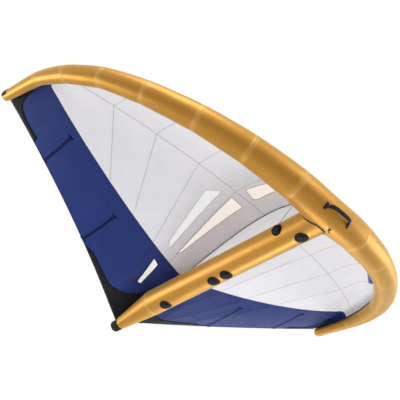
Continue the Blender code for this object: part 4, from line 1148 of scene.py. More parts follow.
def strut_stations(form):
    """Places along the strut, each with its distance from a lap, closer at the valve."""
    start, end = form.sizes.taper_start, form.sizes.sleeve_end
    marks = [(170 * MM, PLAIN)]
    marks += [(y, PLAIN) for y in np.linspace(185 * MM, start - 30 * MM, 80)
              if abs(y - VALVE_PLACE) > VALVE_HOLE + 8 * MM]
    marks += [(VALVE_PLACE + y, PLAIN) for y in np.linspace(-VALVE_HOLE, VALVE_HOLE, 25)]
    marks.sort()
    marks += [(start + o * MM, o * MM) for o in (-9, -8, -7.5, 0, 7.5, 8, 9)]
    marks += [(y, PLAIN) for y in np.linspace(start + 25 * MM, end - 20 * MM, 20)]
    return marks + [(end + o * MM, o * MM) for o in (-9, -8, -7.5, 0)]


def valve_hole(place, point):
    """Sink the tube where the neck of the valve passes through it."""
    local = place.inverted() @ point
    gap = math.hypot(local.x, local.y)
    if local.z < -VALVE_HOLE or gap > VALVE_HOLE:
        return point
    local.z -= VALVE_SINK * (1 - smooth((gap - VALVE_NECK) / (VALVE_HOLE - VALVE_NECK)))
    return place @ local


def strut_ring(form, y, lap):
    """Ring of the strut, sunk under the valve."""
    valve = strut_frame(form, VALVE_PLACE, VALVE_ANGLE)
    radius = form.strut_radius(y)
    centre = Vector((0, y + ORIGIN.y, form.strut_axis(y)))
    lapped = LAP_LIFT if abs(lap) < LAP_EDGE else 0.0
    ring = []
    for angle in ring_angles(TUBE_SIDES):
        fold = 0.6 * MM * wrinkle(y * 5, angle, 1.5, 7)
        point = centre + upright(angle) * (radius + lapped + fold - 0.4 * MM)
        ring.append(valve_hole(valve, point))
    return ring


def junction_ring(form, sides, sink):
    """Front end of the strut on the back of the leading edge."""
    sizes = form.sizes
    ring = []
    for angle in ring_angles(sides):
        x = sizes.strut_radius * math.cos(angle)
        axis, radius = form.edge_axis(x / form.kink(1).x)
        reach = radius + sink
        z = ORIGIN.z - sizes.strut_drop + sizes.strut_radius * math.sin(angle) - axis.z
        lean = min(max(z / reach, -0.93), 0.93)
        ring.append(Vector((x, axis.y + reach * math.sqrt(1 - lean ** 2), axis.z + lean * reach)))
    return ring


class WING_OT_canopy(bpy.types.Operator):
    """Make the canopy as one continuous sheet, with its windows and seams"""

    bl_idname = "wing.canopy"
    bl_label = "Canopy"

    def execute(self, context):
        form = WingForm(context.scene.wing_sizes)
        colours = context.scene.wing_colours
        looks = [
            canopy_cloth("pale_cloth", colours.canopy, toned(colours.canopy, 0.9), 0.42, 0.25,
                         (1.0, 1.0, 1.0), 0.25),
            canopy_cloth("blue_cloth", colours.band, toned(colours.band, 0.75), 0.36, 0.90,
                         BLUE_SHEEN, 0.06),
            window_film("outer_film", colours.clear_film, 0.6),
            window_film("inner_film", colours.cream_film, 0.38),
        ]
        verts, faces, slots = canopy_mesh(form)
        sheet = add_piece("canopy_sheet", verts, faces, looks, slot="pale_cloth", slots=slots,
                          stands_for=canopy_nodes(), smooth_angle=SOFT_EDGE)
        trims = canopy_trims(form, colours)
        return {"FINISHED"}


def canopy_nodes():
    """Solids that the one sheet stands for."""
    keys = ["canopy_front_strip", "canopy_trailing_band"]
    keys += [f"canopy_panel_{number}" for number in range(1, 6)]
    keys += [f"window_{key}" for key in WINDOW_SHARES]
    return [sided(key, side) for key in keys for side in (1, -1)]


def window_ring(form, key, side):
    return rounded_ring(form.plan_shares(WINDOW_SHARES[key]), WINDOW_CORNER) * (side, 1)


def canopy_mesh(form):
    """The whole sheet from tip to tip, cut along its seams and windows."""
    back = form.trailing_run(np.linspace(form.tip_x, 0, 120))
    port = np.vstack([resample(form.seam[:, :2], EDGE_STEP), resample(back, EDGE_STEP)[:-1]])
    tail = np.array([[0.0, form.sizes.root_chord + ORIGIN.y]])
    boundary = np.vstack([port, tail, (port * (-1, 1))[1:][::-1]])
    rings = [resample(window_ring(form, key, side), TAPE_STEP, True)
             for key in WINDOW_SHARES for side in (1, -1)]
    seams = (form.band_line, form.long_line, *map(form.sewn_column, SEWN_COLUMNS))
    lines = [resample(line, EDGE_STEP) * (side, 1) for side in (1, -1) for line in seams]
    flat, faces = sheet_mesh(boundary, lines, rings, SHEET_SPACING)
    centres = flat[faces].mean(1)
    slots = np.zeros(len(faces), int)
    band_y = np.interp(abs(centres[:, 0]), form.band_line[:, 0], form.band_line[:, 1])
    slots[centres[:, 1] > band_y] = 1
    slots[abs(centres[:, 0]) > form.band_line[-1, 0]] = 1
    for key in WINDOW_SHARES:
        for side in (1, -1):
            found = inside(centres, window_ring(form, key, side))
            slots[found] = 3 if key in ("inner", "front") else 2
    points = form.on_canopy(flat)
    face_up(points, faces)
    return points, faces, slots


def canopy_trims(form, colours):
    """Seams, window bindings and hems of the canopy."""
    grey = sewn_tape("seam_tape", colours.seam, (0.55, 0.55, 0.58))
    navy = sewn_tape("band_seam_tape", toned(colours.band, 0.62), (0.05, 0.06, 0.16))
    black = sewn_tape("edge_binding", (0.010, 0.010, 0.012), (0.04, 0.04, 0.045))
    brown = sewn_tape("window_binding", colours.piping, (0.75, 0.50, 0.30))
    width = form.sizes.seam_width
    tail = form.trailing_run(np.linspace(2 * MM, form.tip_x - 4 * MM, 90), 6 * MM)
    seams, band_seams, bindings, hems, edges = [], [], [], [], []
    window_parts = {"outer": seams, "inner": bindings, "front": bindings, "rear": edges}
    for side in (1, -1):
        turn = (side, 1)
        seams.append(ribbon(form, form.long_line * turn, width))
        for column in SEWN_COLUMNS:
            line = form.sewn_column(column) * turn
            seams.append(ribbon(form, line[:3], width * 0.85))
            band_seams.append(ribbon(form, line[2:], width * 0.7))
        band_seams.append(ribbon(form, form.band_line * turn, width * 0.9))
        hems.append(ribbon(form, tail * turn, 12 * MM, lift=1.3 * MM))
        for key, parts in window_parts.items():
            parts.append(ribbon(form, window_ring(form, key, side), width * 0.8, closed=True))
        tip_dark_strip(form, side, black)
    return [joined(name, parts, [look], slot=slot) for name, parts, look, slot in (
        ("canopy_seams", seams, grey, "pale_cloth"),
        ("band_seams", band_seams, navy, "dark_blue_cloth"),
        ("window_bindings", bindings, brown, "pale_cloth"),
        ("trailing_hem", hems, navy, "dark_blue_cloth"),
        ("edge_bindings", edges, black, "black_piping"),
    )]


def tip_dark_strip(form, side, look):
    """A black strip laid on the tube beside its seam, towards the tip."""
    angle = SEAM_ANGLE - 25 * DEG
    stations = []
    for place in np.linspace(5.2, 7.9, 100) * side:
        along, rear, above = form.edge_frame(place)
        out = spoke(angle, rear, above)
        point = form.edge_point(place, angle, 1.2 * MM)
        stations.append((point, along.cross(out) * side, out, 22 * MM))
    tape(sided("tip_dark_strip", side), stations, 1.6 * MM, [look], slot="black_piping",
         inward=side < 0)


class WING_OT_patches(bpy.types.Operator):
    """Make the patches of the tail and the tips and the tabs at the leading edge"""

    bl_idname = "wing.patches"
    bl_label = "Patches"

    def execute(self, context):
        form = WingForm(context.scene.wing_sizes)
        black = patch_cloth("patch_cloth", (0.006, 0.006, 0.007), (0.012, 0.012, 0.014))
        blue = patch_cloth("tab_cloth", (0.05, 0.08, 0.30), (0.08, 0.11, 0.36))
        for side in (1, -1):
            for key, look, slot, ring, drop in (
                ("tail_patch", black, "black_patch", tail_ring(form), 1.8 * MM),
                ("tip_patch", black, "black_patch", tip_ring(form), 2.2 * MM),
                ("edge_tab", blue, "blue_cloth", tab_ring(form), 3.6 * MM),
            ):
                self.patch(form, key, side, look, slot, ring, drop)
        return {"FINISHED"}

    def patch(self, form, key, side, look, slot, ring, drop):
        """Heavy cloth sewn on from below, laid just under the canopy."""
        flat, faces = sheet_mesh(resample(ring, TAPE_STEP, True), [], [], PATCH_SPACING)
        points = form.on_canopy(flat * (side, 1), -drop)
        face_up(points, faces)
        add_piece(sided(f"{key}_cloth", side), points, faces, [look], slot=slot,
                  stands_for=(sided(key, side),), solid=0.8 * MM, smooth_angle=SOFT_EDGE)


def patch_tail(form, start, end):
    """Edge of a patch along the trailing edge."""
    return form.trailing_run(np.linspace(start, end, 40), 2 * MM)


def tail_ring(form):
    """Outline of the patch at the strut's tail."""
    front = rounded(form.plan_shares(TAIL_PATCH_SHARES))
    return np.vstack([front, patch_tail(form, front[-1][0], front[0][0])])


def tip_ring(form):
    """Outline of the patch at a tip, up to the leading seam."""
    front = rounded(form.plan_shares(TIP_PATCH_SHARES), turns=2)
    tail = patch_tail(form, front[-1][0], form.tip_x - 2 * MM)
    edge = [form.seam_plan(place) + (-2 * MM, 1 * MM) for place in np.linspace(7.97, 7.03, 30)]
    return np.vstack([front, tail, [p for p in edge if p[1] > front[0][1] - 10 * MM]])


def tab_ring(form):
    """Outline of the small tab behind the leading seam."""
    low, high = form.plan_shares(EDGE_TAB_SHARES)
    seam = np.array([form.seam_plan(place) for place in np.linspace(0, LAST_KINK, 400)])
    keep = seam[(seam[:, 0] > low[0]) & (seam[:, 0] < high[0])] + (0, 2 * MM)
    outer = [high, np.array((high[0], keep[-1][1]))] if keep[-1][1] < high[1] else [high]
    return np.vstack([[low], outer, keep[::-1]])


class WING_OT_web(bpy.types.Operator):
    """Make the upright web between strut and canopy"""

    bl_idname = "wing.web"
    bl_label = "Web"

    def execute(self, context):
        form = WingForm(context.scene.wing_sizes)
        look = canopy_cloth("web_cloth", (0.84, 0.84, 0.87), (0.74, 0.74, 0.78), 0.5, 0.2,
                            (1, 1, 1))
        front, back = form.seam[0, 1] + 3 * MM, form.sizes.sleeve_end + ORIGIN.y - 25 * MM
        ys = np.linspace(front, back, 130)
        top = form.root_height(ys) - 1.0 * MM
        low = np.array([web_foot(form, y) for y in ys])
        verts, uv = [], []
        for i, y in enumerate(ys):
            for k in range(WEB_ROWS + 1):
                share = k / WEB_ROWS
                z = mix(low[i], top[i], share)
                wave = 1.0 * MM * math.sin(math.pi * share) * noise.noise(Vector((y * 6, z * 9, 3)))
                verts.append((wave, y, z))
                uv.append((y, z))
        web = add_piece("web_sheet", verts, grid(len(ys), WEB_ROWS + 1, down=True), [look], uv=uv,
                        slot="web_cloth", stands_for=("profile_web",))
        seam = self.top_seam(ys, top)
        cross = self.cross_seam(form)
        return {"FINISHED"}

    def top_seam(self, ys, top):
        """Dark piping where the web meets the canopy."""
        look = sewn_tape("web_seam_tape", (0.03, 0.03, 0.035), (0.10, 0.10, 0.11))
        points = [Vector((0, y, z - 3.2 * MM)) for y, z in zip(ys, top)]
        return round_cord("web_top_piping", points, 3.0 * MM, [look], sides=8, slot="black_piping")

    def cross_seam(self, form):
        """Slanting seam where the web's two panels meet."""
        look = sewn_tape("web_cross_tape", (0.16, 0.12, 0.22), (0.30, 0.26, 0.36))
        low = Vector((0, WEB_SEAM_FOOT, web_foot(form, WEB_SEAM_FOOT) + 1 * MM))
        top = float(form.root_height(np.array([WEB_SEAM_HEAD]))[0])
        high = Vector((0, WEB_SEAM_HEAD, top - 5 * MM))
        across = (high - low).normalized().cross(PORT)
        stations = [(low.lerp(high, k / 12), across, PORT, 5 * MM) for k in range(13)]
        return tape("web_cross_seam", stations, 2.6 * MM, [look], slot="web_cloth")


def web_foot(form, y):
    """Height of the strut's top, or of the leading edge in front of it."""
    back = y - ORIGIN.y
    top = form.strut_axis(back) + form.strut_radius(back)
    axis, radius = form.edge_axis(0.0)
    away = y - axis.y
    if abs(away) < radius:
        top = max(top, axis.z + math.sqrt(radius ** 2 - away ** 2))
    return top


class WING_OT_piping(bpy.types.Operator):
    """Make the piping in the corner between strut and leading edge"""

    bl_idname = "wing.piping"
    bl_label = "Piping"

    def execute(self, context):
        form = WingForm(context.scene.wing_sizes)
        look = sewn_tape("black_piping", (0.010, 0.010, 0.012), (0.05, 0.05, 0.055))
        points = []
        for angle, point in zip(ring_angles(120), junction_ring(form, 120, 1.5 * MM)):
            turn = (angle - math.pi / 2) % (2 * math.pi)
            if not 20 * DEG < turn < 340 * DEG:
                continue
            out_strut = upright(angle)
            axis, _ = form.edge_axis(point.x / form.kink(1).x)
            out_edge = Vector((0, point.y - axis.y, point.z - axis.z)).normalized()
            both = (out_strut + out_edge) / (1 + out_strut.dot(out_edge))
            points.append((turn, point + both * 2.2 * MM))
        points = [point for _, point in sorted(points, key=lambda item: item[0])]
        round_cord("corner_piping", points, 2.9 * MM, [look], slot="black_piping",
                   stands_for=("junction_piping",))
        return {"FINISHED"}


class WING_OT_battens(bpy.types.Operator):
    """Make the battens and their pockets under the trailing band"""

    bl_idname = "wing.battens"
    bl_label = "Battens"

    def execute(self, context):
        form = WingForm(context.scene.wing_sizes)
        colours = context.scene.wing_colours
        # The last colour is the painted shadow of the batten seen through the pocket cloth
        look = canopy_cloth("pocket_cloth", colours.band, toned(colours.band, 0.8), 0.4, 0.9,
                            BLUE_SHEEN, 0.06, bar=(0.003, 0.007, 0.055))
        rod = black_moulding("batten_composite", colours.black, 0.35)
        for number, (share, front) in enumerate(BATTEN_SHARES, start=1):
            x, start = form.plan_share(share, front)
            end = form.trailing(x)[0] - 3 * MM
            for side in (1, -1):
                self.rod(form, number, side, x, start + 8 * MM, end - 4 * MM, rod)
                self.pocket(form, number, side, x, start, end, look)
        return {"FINISHED"}

    def rod(self, form, number, side, x, start, end, look):
        """Flat rod with rounded edges, bent to the camber."""
        section = ((-9, -2.3), (-8.4, -2.9), (0, -3.1), (8.4, -2.9), (9, -2.3), (8.4, -1.7),
                   (0, -1.5), (-8.4, -1.7))
        ys = np.linspace(start, end, 30)
        lines = [form.on_canopy(self.lengthwise(side * x + offset * MM, ys), lift * MM)
                 for offset, lift in section]
        rings = [[Vector(line[k]) for line in lines] for k in range(len(ys))]
        ends = tuple(sum(ring, Vector()) / len(ring) for ring in (rings[0], rings[-1]))
        skin(sided(f"batten_rod_{number}", side), rings, list(ys), [look], poles=ends, inward=True,
             slot="batten_rod", stands_for=(sided(f"batten_{number}", side),))

    def lengthwise(self, x, ys):
        """Plan points on a straight line from front to back."""
        return np.column_stack([np.full(len(ys), x), ys])

    def pocket(self, form, number, side, x, start, end, look):
        """Flat margins, a raised sleeve over the rod and a cross tape at each end, darkened by a
        painted shadow of the batten.
        """
        offsets = (-17, -14.5, -11.5, -10.3, -9, -4, 0, 4, 9, 10.3, 11.5, 14.5, 17)
        lifts = (1.0, 1.5, 1.9, 2.9, 3.6, 3.9, 4.0, 3.9, 3.6, 2.9, 1.9, 1.5, 1.0)
        ys = np.linspace(start, end, 36)
        verts, bar = [], []
        for offset, lift in zip(offsets, lifts):
            verts.extend(form.on_canopy(self.lengthwise(side * (x + offset * MM), ys), -lift * MM))
            # Painted shadow of the batten through the cloth, full over the raised sleeve
            bar += [1.0 if abs(offset) < 10.5 else 0.0] * len(ys)
        faces = grid(len(offsets), len(ys), down=side < 0)
        rows = ((-7, 1.0), (-6, 2.4), (0, 4.3), (6, 4.5), (7, 1.8))
        for centre, half in ((start, 19), (end - 9 * MM, 23)):
            across = np.linspace(-half, half, 12) * MM
            faces += grid(len(rows), len(across), len(verts), down=side > 0)
            for offset, lift in rows:
                places = np.full(len(across), centre + offset * MM)
                plan = np.column_stack([side * (x + across), places])
                verts.extend(form.on_canopy(plan, -lift * MM))
                # The end tapes carry the painted batten shadow too
                bar += [1.0] * len(across)
        add_piece(sided(f"batten_sleeve_{number}", side), verts, faces, [look],
                  slot="dark_blue_cloth", stands_for=(sided(f"batten_pocket_{number}", side),),
                  attributes={"bar": bar}, smooth_angle=SOFT_EDGE)


def turned_rings(profile, sides, tube_radius):
    """Rings of a turned piece from rows of radius, height and how far it follows the tube."""
    rings = []
    for radius, height, follow in profile:
        ring = []
        for angle in ring_angles(sides):
            arc, along = radius * math.cos(angle), radius * math.sin(angle)
            turn, reach = arc / tube_radius, tube_radius + height
            curved = Vector((reach * math.sin(turn), along, reach * math.cos(turn) - tube_radius))
            ring.append(Vector((arc, along, height)).lerp(curved, follow))
        rings.append(ring)
    return rings


def profile_run(profile):
    """Distance along a profile at each of its rows."""
    run = [0.0]
    for a, b in zip(profile[:-1], profile[1:]):
        run.append(run[-1] + math.hypot(b[0] - a[0], b[1] - a[1]))
    return run


def strut_frame(form, y, angle):
    """Frame on the strut's surface: X round it, Y along it, Z outward."""
    out = upright(angle)
    along = Vector((0, 1, 0))
    centre = Vector((0, y + ORIGIN.y, form.strut_axis(y))) + out * form.strut_radius(y)
    return axes_frame(centre, along.cross(out), along, out)


def axes_frame(centre, x_axis, y_axis, z_axis):
    """Frame with its origin at a point and the given axes."""
    matrix = Matrix((x_axis, y_axis, z_axis)).transposed().to_4x4()
    matrix.translation = centre
    return matrix


def flange_rows(radius, seat, top):
    """Edge and shallow groove of a flange that hugs the strut."""
    rows = ((-0.8, seat), (0.0, seat + 0.5 * MM), (0.0, top - 1.3 * MM), (-0.4, top - 0.5 * MM),
            (-1.4, top), (-4.0, top), (-4.8, top - 0.5 * MM), (-6.2, top - 0.5 * MM), (-7.0, top))
    return [(radius + step * MM, height, 1.0) for step, height in rows]


class WING_OT_plates(bpy.types.Operator):
    """Make the four plates that handles screw to"""

    bl_idname = "wing.plates"
    bl_label = "Handle plates"

    def execute(self, context):
        form = WingForm(context.scene.wing_sizes)
        fit = context.scene.wing_fittings
        look = black_moulding("black_plastic", context.scene.wing_colours.black, 0.55)
        radius, boss, seat, top, high = (fit.plate_radius, fit.boss_radius, fit.plate_seat,
                                         fit.plate_top, fit.boss_height)
        profile = [(radius * 0.4, seat, 1.0)] + flange_rows(radius, seat, top)
        profile += [(boss + 5 * MM, top + 0.1 * MM, 1.0), (boss + 2.4 * MM, top + 0.5 * MM, 0.8),
                    (boss + 1.0 * MM, mix(top, high, 0.3), 0.5),
                    (boss + 0.4 * MM, mix(top, high, 0.7), 0.2),
                    (boss, high - 0.9 * MM, 0.0), (boss - 0.4 * MM, high - 0.3 * MM, 0.0),
                    (boss - 1.2 * MM, high, 0.0), (boss * 0.6, high, 0.0)]
        rings = turned_rings(profile, TUBE_SIDES, form.sizes.strut_radius)
        plate = closed_skin(rings, profile_run(profile), (UP * seat, UP * high))
        parts = [plate] + [self.insert(fit, end) for end in (-1, 1)]
        for number, y in enumerate(PLATE_PLACES, start=1):
            joined(f"handle_plate_face_{number}", parts, [look], strut_frame(form, y, -90 * DEG),
                   slot="black_plastic", stands_for=(f"handle_plate_{number}",))
        return {"FINISHED"}

    def insert(self, fit, end):
        """Raised rim round a threaded insert."""
        profile = [(r * MM, fit.boss_height + h * MM, 0.0)
                   for r, h in ((3.9, -0.2), (3.9, 0.15), (3.5, 0.35), (2.9, 0.3), (2.6, 0.05))]
        rings = turned_rings(profile, 24, 1.0)
        shift = Vector((0, end * fit.screw_spacing / 2, 0))
        rings = [[point + shift for point in ring] for ring in rings]
        return closed_skin(rings, profile_run(profile),
                           (None, shift + UP * (fit.boss_height + 0.05 * MM)))


class WING_OT_valve(bpy.types.Operator):
    """Make the seat and the cap of the inflation valve and finish its core"""

    bl_idname = "wing.valve"
    bl_label = "Valve"

    def execute(self, context):
        form = WingForm(context.scene.wing_sizes)
        fit = context.scene.wing_fittings
        black = black_moulding("valve_plastic", context.scene.wing_colours.black, 0.5)
        dress("valve_core", black)
        dress("valve_pin", black_moulding("valve_pin_plastic", (0.20, 0.21, 0.22), 0.4))
        place = strut_frame(form, VALVE_PLACE, VALVE_ANGLE)
        self.seat(form, fit, place, black)
        self.cap(fit, place, black)
        return {"FINISHED"}

    def seat(self, form, fit, place, look):
        """Flange, collar and neck, open along the bore."""
        bore = fit.valve_bore
        neck, collar = bore + 2 * MM, bore + fit.collar_wall
        seat, top, high, deep = fit.plate_seat, fit.plate_top, fit.collar_height, -fit.valve_depth
        profile = [(neck, seat, 1.0), ((neck + fit.valve_flange) / 2, seat, 1.0)]
        profile += flange_rows(fit.valve_flange, seat, top)
        profile += [(collar + 2.4 * MM, top, 0.9), (collar + 0.8 * MM, top + 0.6 * MM, 0.5),
                    (collar, mix(top, high, 0.4), 0.2), (collar, high - 0.8 * MM, 0.0),
                    (collar - 0.6 * MM, high, 0.0), (bore + 0.6 * MM, high, 0.0),
                    (bore, high - 0.6 * MM, 0.0), (bore, deep, 0.0), (neck, deep, 0.0),
                    (neck, seat, 1.0)]
        rings = turned_rings(profile, TUBE_SIDES, form.sizes.strut_radius)
        skin("valve_flange", rings, profile_run(profile), [look], place=place,
             slot="black_plastic", stands_for=("valve_seat",))

    def cap(self, fit, place, look):
        """Lid with a grip groove, a pull tab and the barrel of its hinge."""
        collar = fit.valve_bore + fit.collar_wall
        reach, pin = collar + fit.cap_wall, 1.6 * MM
        hinge = place @ Matrix.Translation((0, -reach - pin, fit.collar_height))
        centre = Vector((0, reach + pin, 0))
        low, high, inner = 0.6 * MM, 0.6 * MM + fit.cap_wall, collar + 0.9 * MM
        rows = ((inner * 0.5, low), (inner, low), (inner, -1.6 * MM), (reach - 0.4 * MM, -1.6 * MM),
                (reach, -1.2 * MM), (reach, high - 1.4 * MM), (reach - 0.4 * MM, high - 0.5 * MM),
                (reach - 1.4 * MM, high), (reach - 4.6 * MM, high),
                (reach - 5.3 * MM, high - 0.6 * MM), (reach - 7.3 * MM, high - 0.6 * MM),
                (reach - 8 * MM, high), (reach * 0.3, high + 0.1 * MM))
        profile = [(radius, height, 0.0) for radius, height in rows]
        rings = [[point + centre for point in ring] for ring in turned_rings(profile, 64, 1.0)]
        lid = closed_skin(rings, profile_run(profile),
                          (centre + UP * low, centre + UP * (high + 0.1 * MM)))
        parts = [lid, self.barrel(pin + 1.4 * MM), self.pull(centre, reach, high)]
        joined("valve_lid", parts, [look], hinge, slot="black_plastic", stands_for=("valve_cap",),
               body="valve_cap")

    def barrel(self, radius):
        """Barrel of the hinge with its middle knuckle set in."""
        rows = ((-6.0, 0.8), (-5.6, 1.0), (-2.2, 1.0), (-2.0, 0.88), (2.0, 0.88), (2.2, 1.0),
                (5.6, 1.0), (6.0, 0.8))
        angles = np.linspace(0, 2 * math.pi, 21)[:-1]
        rings = [[Vector((x * MM, radius * share * math.cos(a), radius * share * math.sin(a)))
                  for a in angles] for x, share in rows]
        return closed_skin(rings, [x * MM for x, _ in rows], (PORT * -6 * MM, PORT * 6 * MM))

    def pull(self, centre, reach, high):
        """Tongue to lift the lid by."""
        rings, along = [], []
        for step, width, lift in ((-3, 13, 0), (1, 13, 0), (3, 12, 0.3), (5, 10, 0.7), (6, 7, 0.9)):
            y = centre.y + reach + step * MM
            low = high - 2.2 * MM + lift * MM
            top = high - 0.6 * MM + lift * MM
            half = width / 2 * MM
            corners = ((half, low), (half, top), (-half, top), (-half, low))
            rings.append([Vector((x, y, z)) for x, z in corners])
            along.append(step * MM)
        poles = (sum(rings[0], Vector()) / 4, sum(rings[-1], Vector()) / 4)
        return closed_skin(rings, along, poles, inward=True)


class WING_OT_caps(bpy.types.Operator):
    """Make the strut's tail cap and the closed ends of the leading edge"""

    bl_idname = "wing.caps"
    bl_label = "Caps"

    def execute(self, context):
        form = WingForm(context.scene.wing_sizes)
        fit = context.scene.wing_fittings
        self.tail(form, fit)
        gold = gold_finish(context)
        black = patch_cloth("guard_cloth", (0.009, 0.009, 0.011), (0.018, 0.019, 0.021))
        for side in (1, -1):
            self.tip(form, fit, side, gold, black)
        return {"FINISHED"}

    def tail(self, form, fit):
        """Rounded cap with a groove, over the end of the strut."""
        look = black_moulding("black_cap", (0.010, 0.010, 0.011), 0.6)
        sizes = form.sizes
        axis_z = form.strut_axis(sizes.sleeve_end) - (sizes.tail_radius - fit.tail_cap_radius)
        start = sizes.sleeve_end + 0.4 * MM
        rows = [(0.0, 0.97), (0.004, 1.0), (0.012, 1.012), (0.10, 1.012), (0.112, 1.0),
                (0.125, 0.985), (0.135, 0.985), (0.15, 0.998), (0.45, 0.99), (0.70, 0.975)]
        rows += [(0.70 + 0.30 * math.sin(t), 0.90 + 0.075 * math.cos(t) if t < 0.6 else
                  0.965 * math.cos(t) ** 0.42) for t in np.linspace(0.35, 1.50, 16)]
        centres = [Vector((0, start + reach * fit.tail_cap + ORIGIN.y, axis_z))
                   for reach, _ in rows]
        angles = np.linspace(0, 2 * math.pi, 73)[:-1]
        rings = [[centre + fit.tail_cap_radius * width * upright(a) for a in angles]
                 for centre, (_, width) in zip(centres, rows)]
        skin("tail_bumper", rings, [reach * fit.tail_cap for reach, _ in rows], [look],
             poles=(centres[0], centres[-1]), inward=True, slot="black_cap",
             stands_for=("strut_end_cap",))

    def tip_rings(self, form, fit, side, lift, angles, reaches, folds):
        """Rings over the end of the tube and its rounded closing."""
        place = side * LAST_KINK
        end, end_radius = form.edge_axis(place)
        along, rear, above = form.edge_frame(place)
        last_length = (form.kinks[-1] - form.kinks[-2]).length
        rings = []
        for reach in reaches:
            share = max(reach, 0.0)
            width = math.sqrt(max(1 - (share * 0.985) ** 2.6, 0.0))
            if reach < 0:
                centre, radius = form.edge_axis(place - side * GUARD_REACH * -reach / last_length)
            else:
                centre = end + along * side * (reach * fit.tip_cap + lift * share)
                radius = end_radius
            ring = []
            for angle in angles:
                gather = folds * share * math.cos(14 * angle)
                out = spoke(angle, rear, above)
                ring.append(centre + out * ((radius + lift) * width + gather * width))
            rings.append(ring)
        return rings

    def tip(self, form, fit, side, gold, black):
        """Closed end of the tube and the black guard over it."""
        angles = np.linspace(0, 2 * math.pi, 73)[:-1]
        reaches = [0.0, 0.04, 0.15, 0.3, 0.45, 0.6, 0.72, 0.82, 0.9, 0.96, 1.0]
        rings = self.tip_rings(form, fit, side, 0.0, angles, reaches, 0.9 * MM)
        pole = sum(rings[-1], Vector()) / len(rings[-1])
        skin(sided("tip_end", side), rings, [r * fit.tip_cap for r in reaches], [gold],
             poles=(None, pole), inward=side < 0, slot="gold_cloth",
             attributes={"lap": [PLAIN] * (len(rings) * len(angles) + 1)},
             stands_for=(sided("tip_cap", side),))
        angles = np.linspace(52 * DEG, 226 * DEG, 44)
        reaches = [-1.0, -0.97, -0.7, -0.4, -0.1, 0.0, 0.15, 0.3, 0.5, 0.7, 0.85, 0.95]
        rings = self.tip_rings(form, fit, side, 1.3 * MM, angles, reaches, 0.4 * MM)
        add_piece(sided("tip_guard", side), [point for ring in rings for point in ring],
                  faced(grid(len(rings), len(angles)), side), [black], slot="black_patch",
                  solid=0.9 * MM, smooth_angle=SOFT_EDGE)


class WING_OT_handle(bpy.types.Operator):
    """Make the grab strap and the tabs that sew it to the leading edge"""

    bl_idname = "wing.handle"
    bl_label = "Grab strap"

    def execute(self, context):
        form = WingForm(context.scene.wing_sizes)
        fit = context.scene.wing_fittings
        look = webbing("black_webbing", (0.010, 0.010, 0.012))
        for side in (1, -1):
            hugging_tape(form, sided("strap_anchor", side), side * fit.strap_reach, 220 * DEG,
                         20 * MM, 47 * MM, look, sided("front_handle_tab", side))
        self.strap(fit, look)
        return {"FINISHED"}

    def strap(self, fit, look):
        """Arched strap, narrower where the hand grips it."""
        centre = Vector(joint_of("grab_strap_swing")["pos_m"])
        out = Vector((0, -math.cos(STRAP_ANGLE), -math.sin(STRAP_ANGLE)))
        across = out.cross(PORT)
        reach, rise, half = fit.strap_reach, fit.strap_rise, fit.strap_width / 2
        stations = [(Vector((-reach, 0, depth * half)), width)
                    for depth, width in ((-0.95, 0.55), (-0.8, 0.9), (-0.4, 1.0))]
        for step in range(49):
            turn = math.pi * step / 48
            x = -reach * bent(math.cos(turn), 0.55)
            z = rise * abs(math.sin(turn)) ** 0.9
            narrow = smooth(abs(math.sin(turn)) * 1.6 - 0.5)
            stations.append((Vector((x, 0, z)), 1.0 - 0.08 * narrow))
        stations += [(Vector((-p.x, 0, p.z)), w) for p, w in stations[:3]][::-1]
        points = [p for p, _ in stations]
        made = []
        for k, (point, width) in enumerate(stations):
            course = (points[min(k + 1, len(points) - 1)] - points[max(k - 1, 0)]).normalized()
            face = Vector((-course.z, 0, course.x))
            lean = 0.5 * max(point.z, 0.0)
            made.append((centre + Vector((point.x, 0, 0)) + out * point.z + across * lean, across,
                         Vector((face.x, 0, 0)) + out * face.z, width * fit.strap_width))
        tape("grab_strap", made, 3.4 * MM, [look], body="grab_strap", slot="black_webbing",
             stands_for=("front_handle",))


def hugging_tape(form, name, x, angle, width, length, look, stands_for, hem=0.9 * MM,
                 thick=2.2 * MM):
    """Folded tape sewn flat on the round of the leading edge, with a hem at each end."""
    place = x / form.kink(1).x
    _, radius = form.edge_axis(place)
    along, rear, above = form.edge_frame(place)
    spread = length / radius / 2
    stations = []
    for turn in np.linspace(-spread, spread, 25):
        end = abs(turn) > spread * 0.86
        lift = thick / 2 + 0.1 * MM + (hem if end else 0.0)
        stations.append((form.edge_point(place, angle + turn, lift), along,
                         spoke(angle + turn, rear, above), width * (1.0 if end else 0.94)))
    return tape(name, stations, thick, [look], slot="black_webbing", stands_for=(stands_for,))


class WING_OT_leash(bpy.types.Operator):
    """Make the leash loop and its tab under the leading edge"""

    bl_idname = "wing.leash"
    bl_label = "Leash loop"

    def execute(self, context):
        form = WingForm(context.scene.wing_sizes)
        look = webbing("leash_webbing", (0.060, 0.040, 0.016))
        hugging_tape(form, "leash_anchor", 30 * MM, 270 * DEG, 15 * MM, 20 * MM, look, "leash_tab",
                     hem=0.0, thick=1.3 * MM)
        joint = joint_of("leash_ring_swing")
        centre, along = Vector(joint["pos_m"]), Vector(joint["axis"]).normalized()
        out = (along * along.z - UP).normalized()
        points = []
        for turn in ring_angles(64):
            x = 5 * MM * bent(math.cos(turn), 0.7)
            z = 12 * MM + 12 * MM * bent(math.sin(turn), 0.85)
            x *= 1 + 0.4 * smooth(z / (24 * MM)) * (1 - smooth((z - 18 * MM) / (8 * MM)))
            points.append(centre + along * x + out * z)
        round_cord("leash_cord_loop", points, 1.9 * MM, [look], closed=True, lay=0.08,
                   body="leash_ring", slot="black_webbing", stands_for=("leash_loop",))
        return {"FINISHED"}


def joint_of(name):
    return next(joint for joint in frame["joints"] if joint["name"] == name)


def dress(name, look):
    """Give a carried-over solid its finish."""
    obj = frame["nodes"][name]
    for slot in obj.material_slots:
        slot.material = look
    if not obj.material_slots:
        obj.data.materials.append(look)


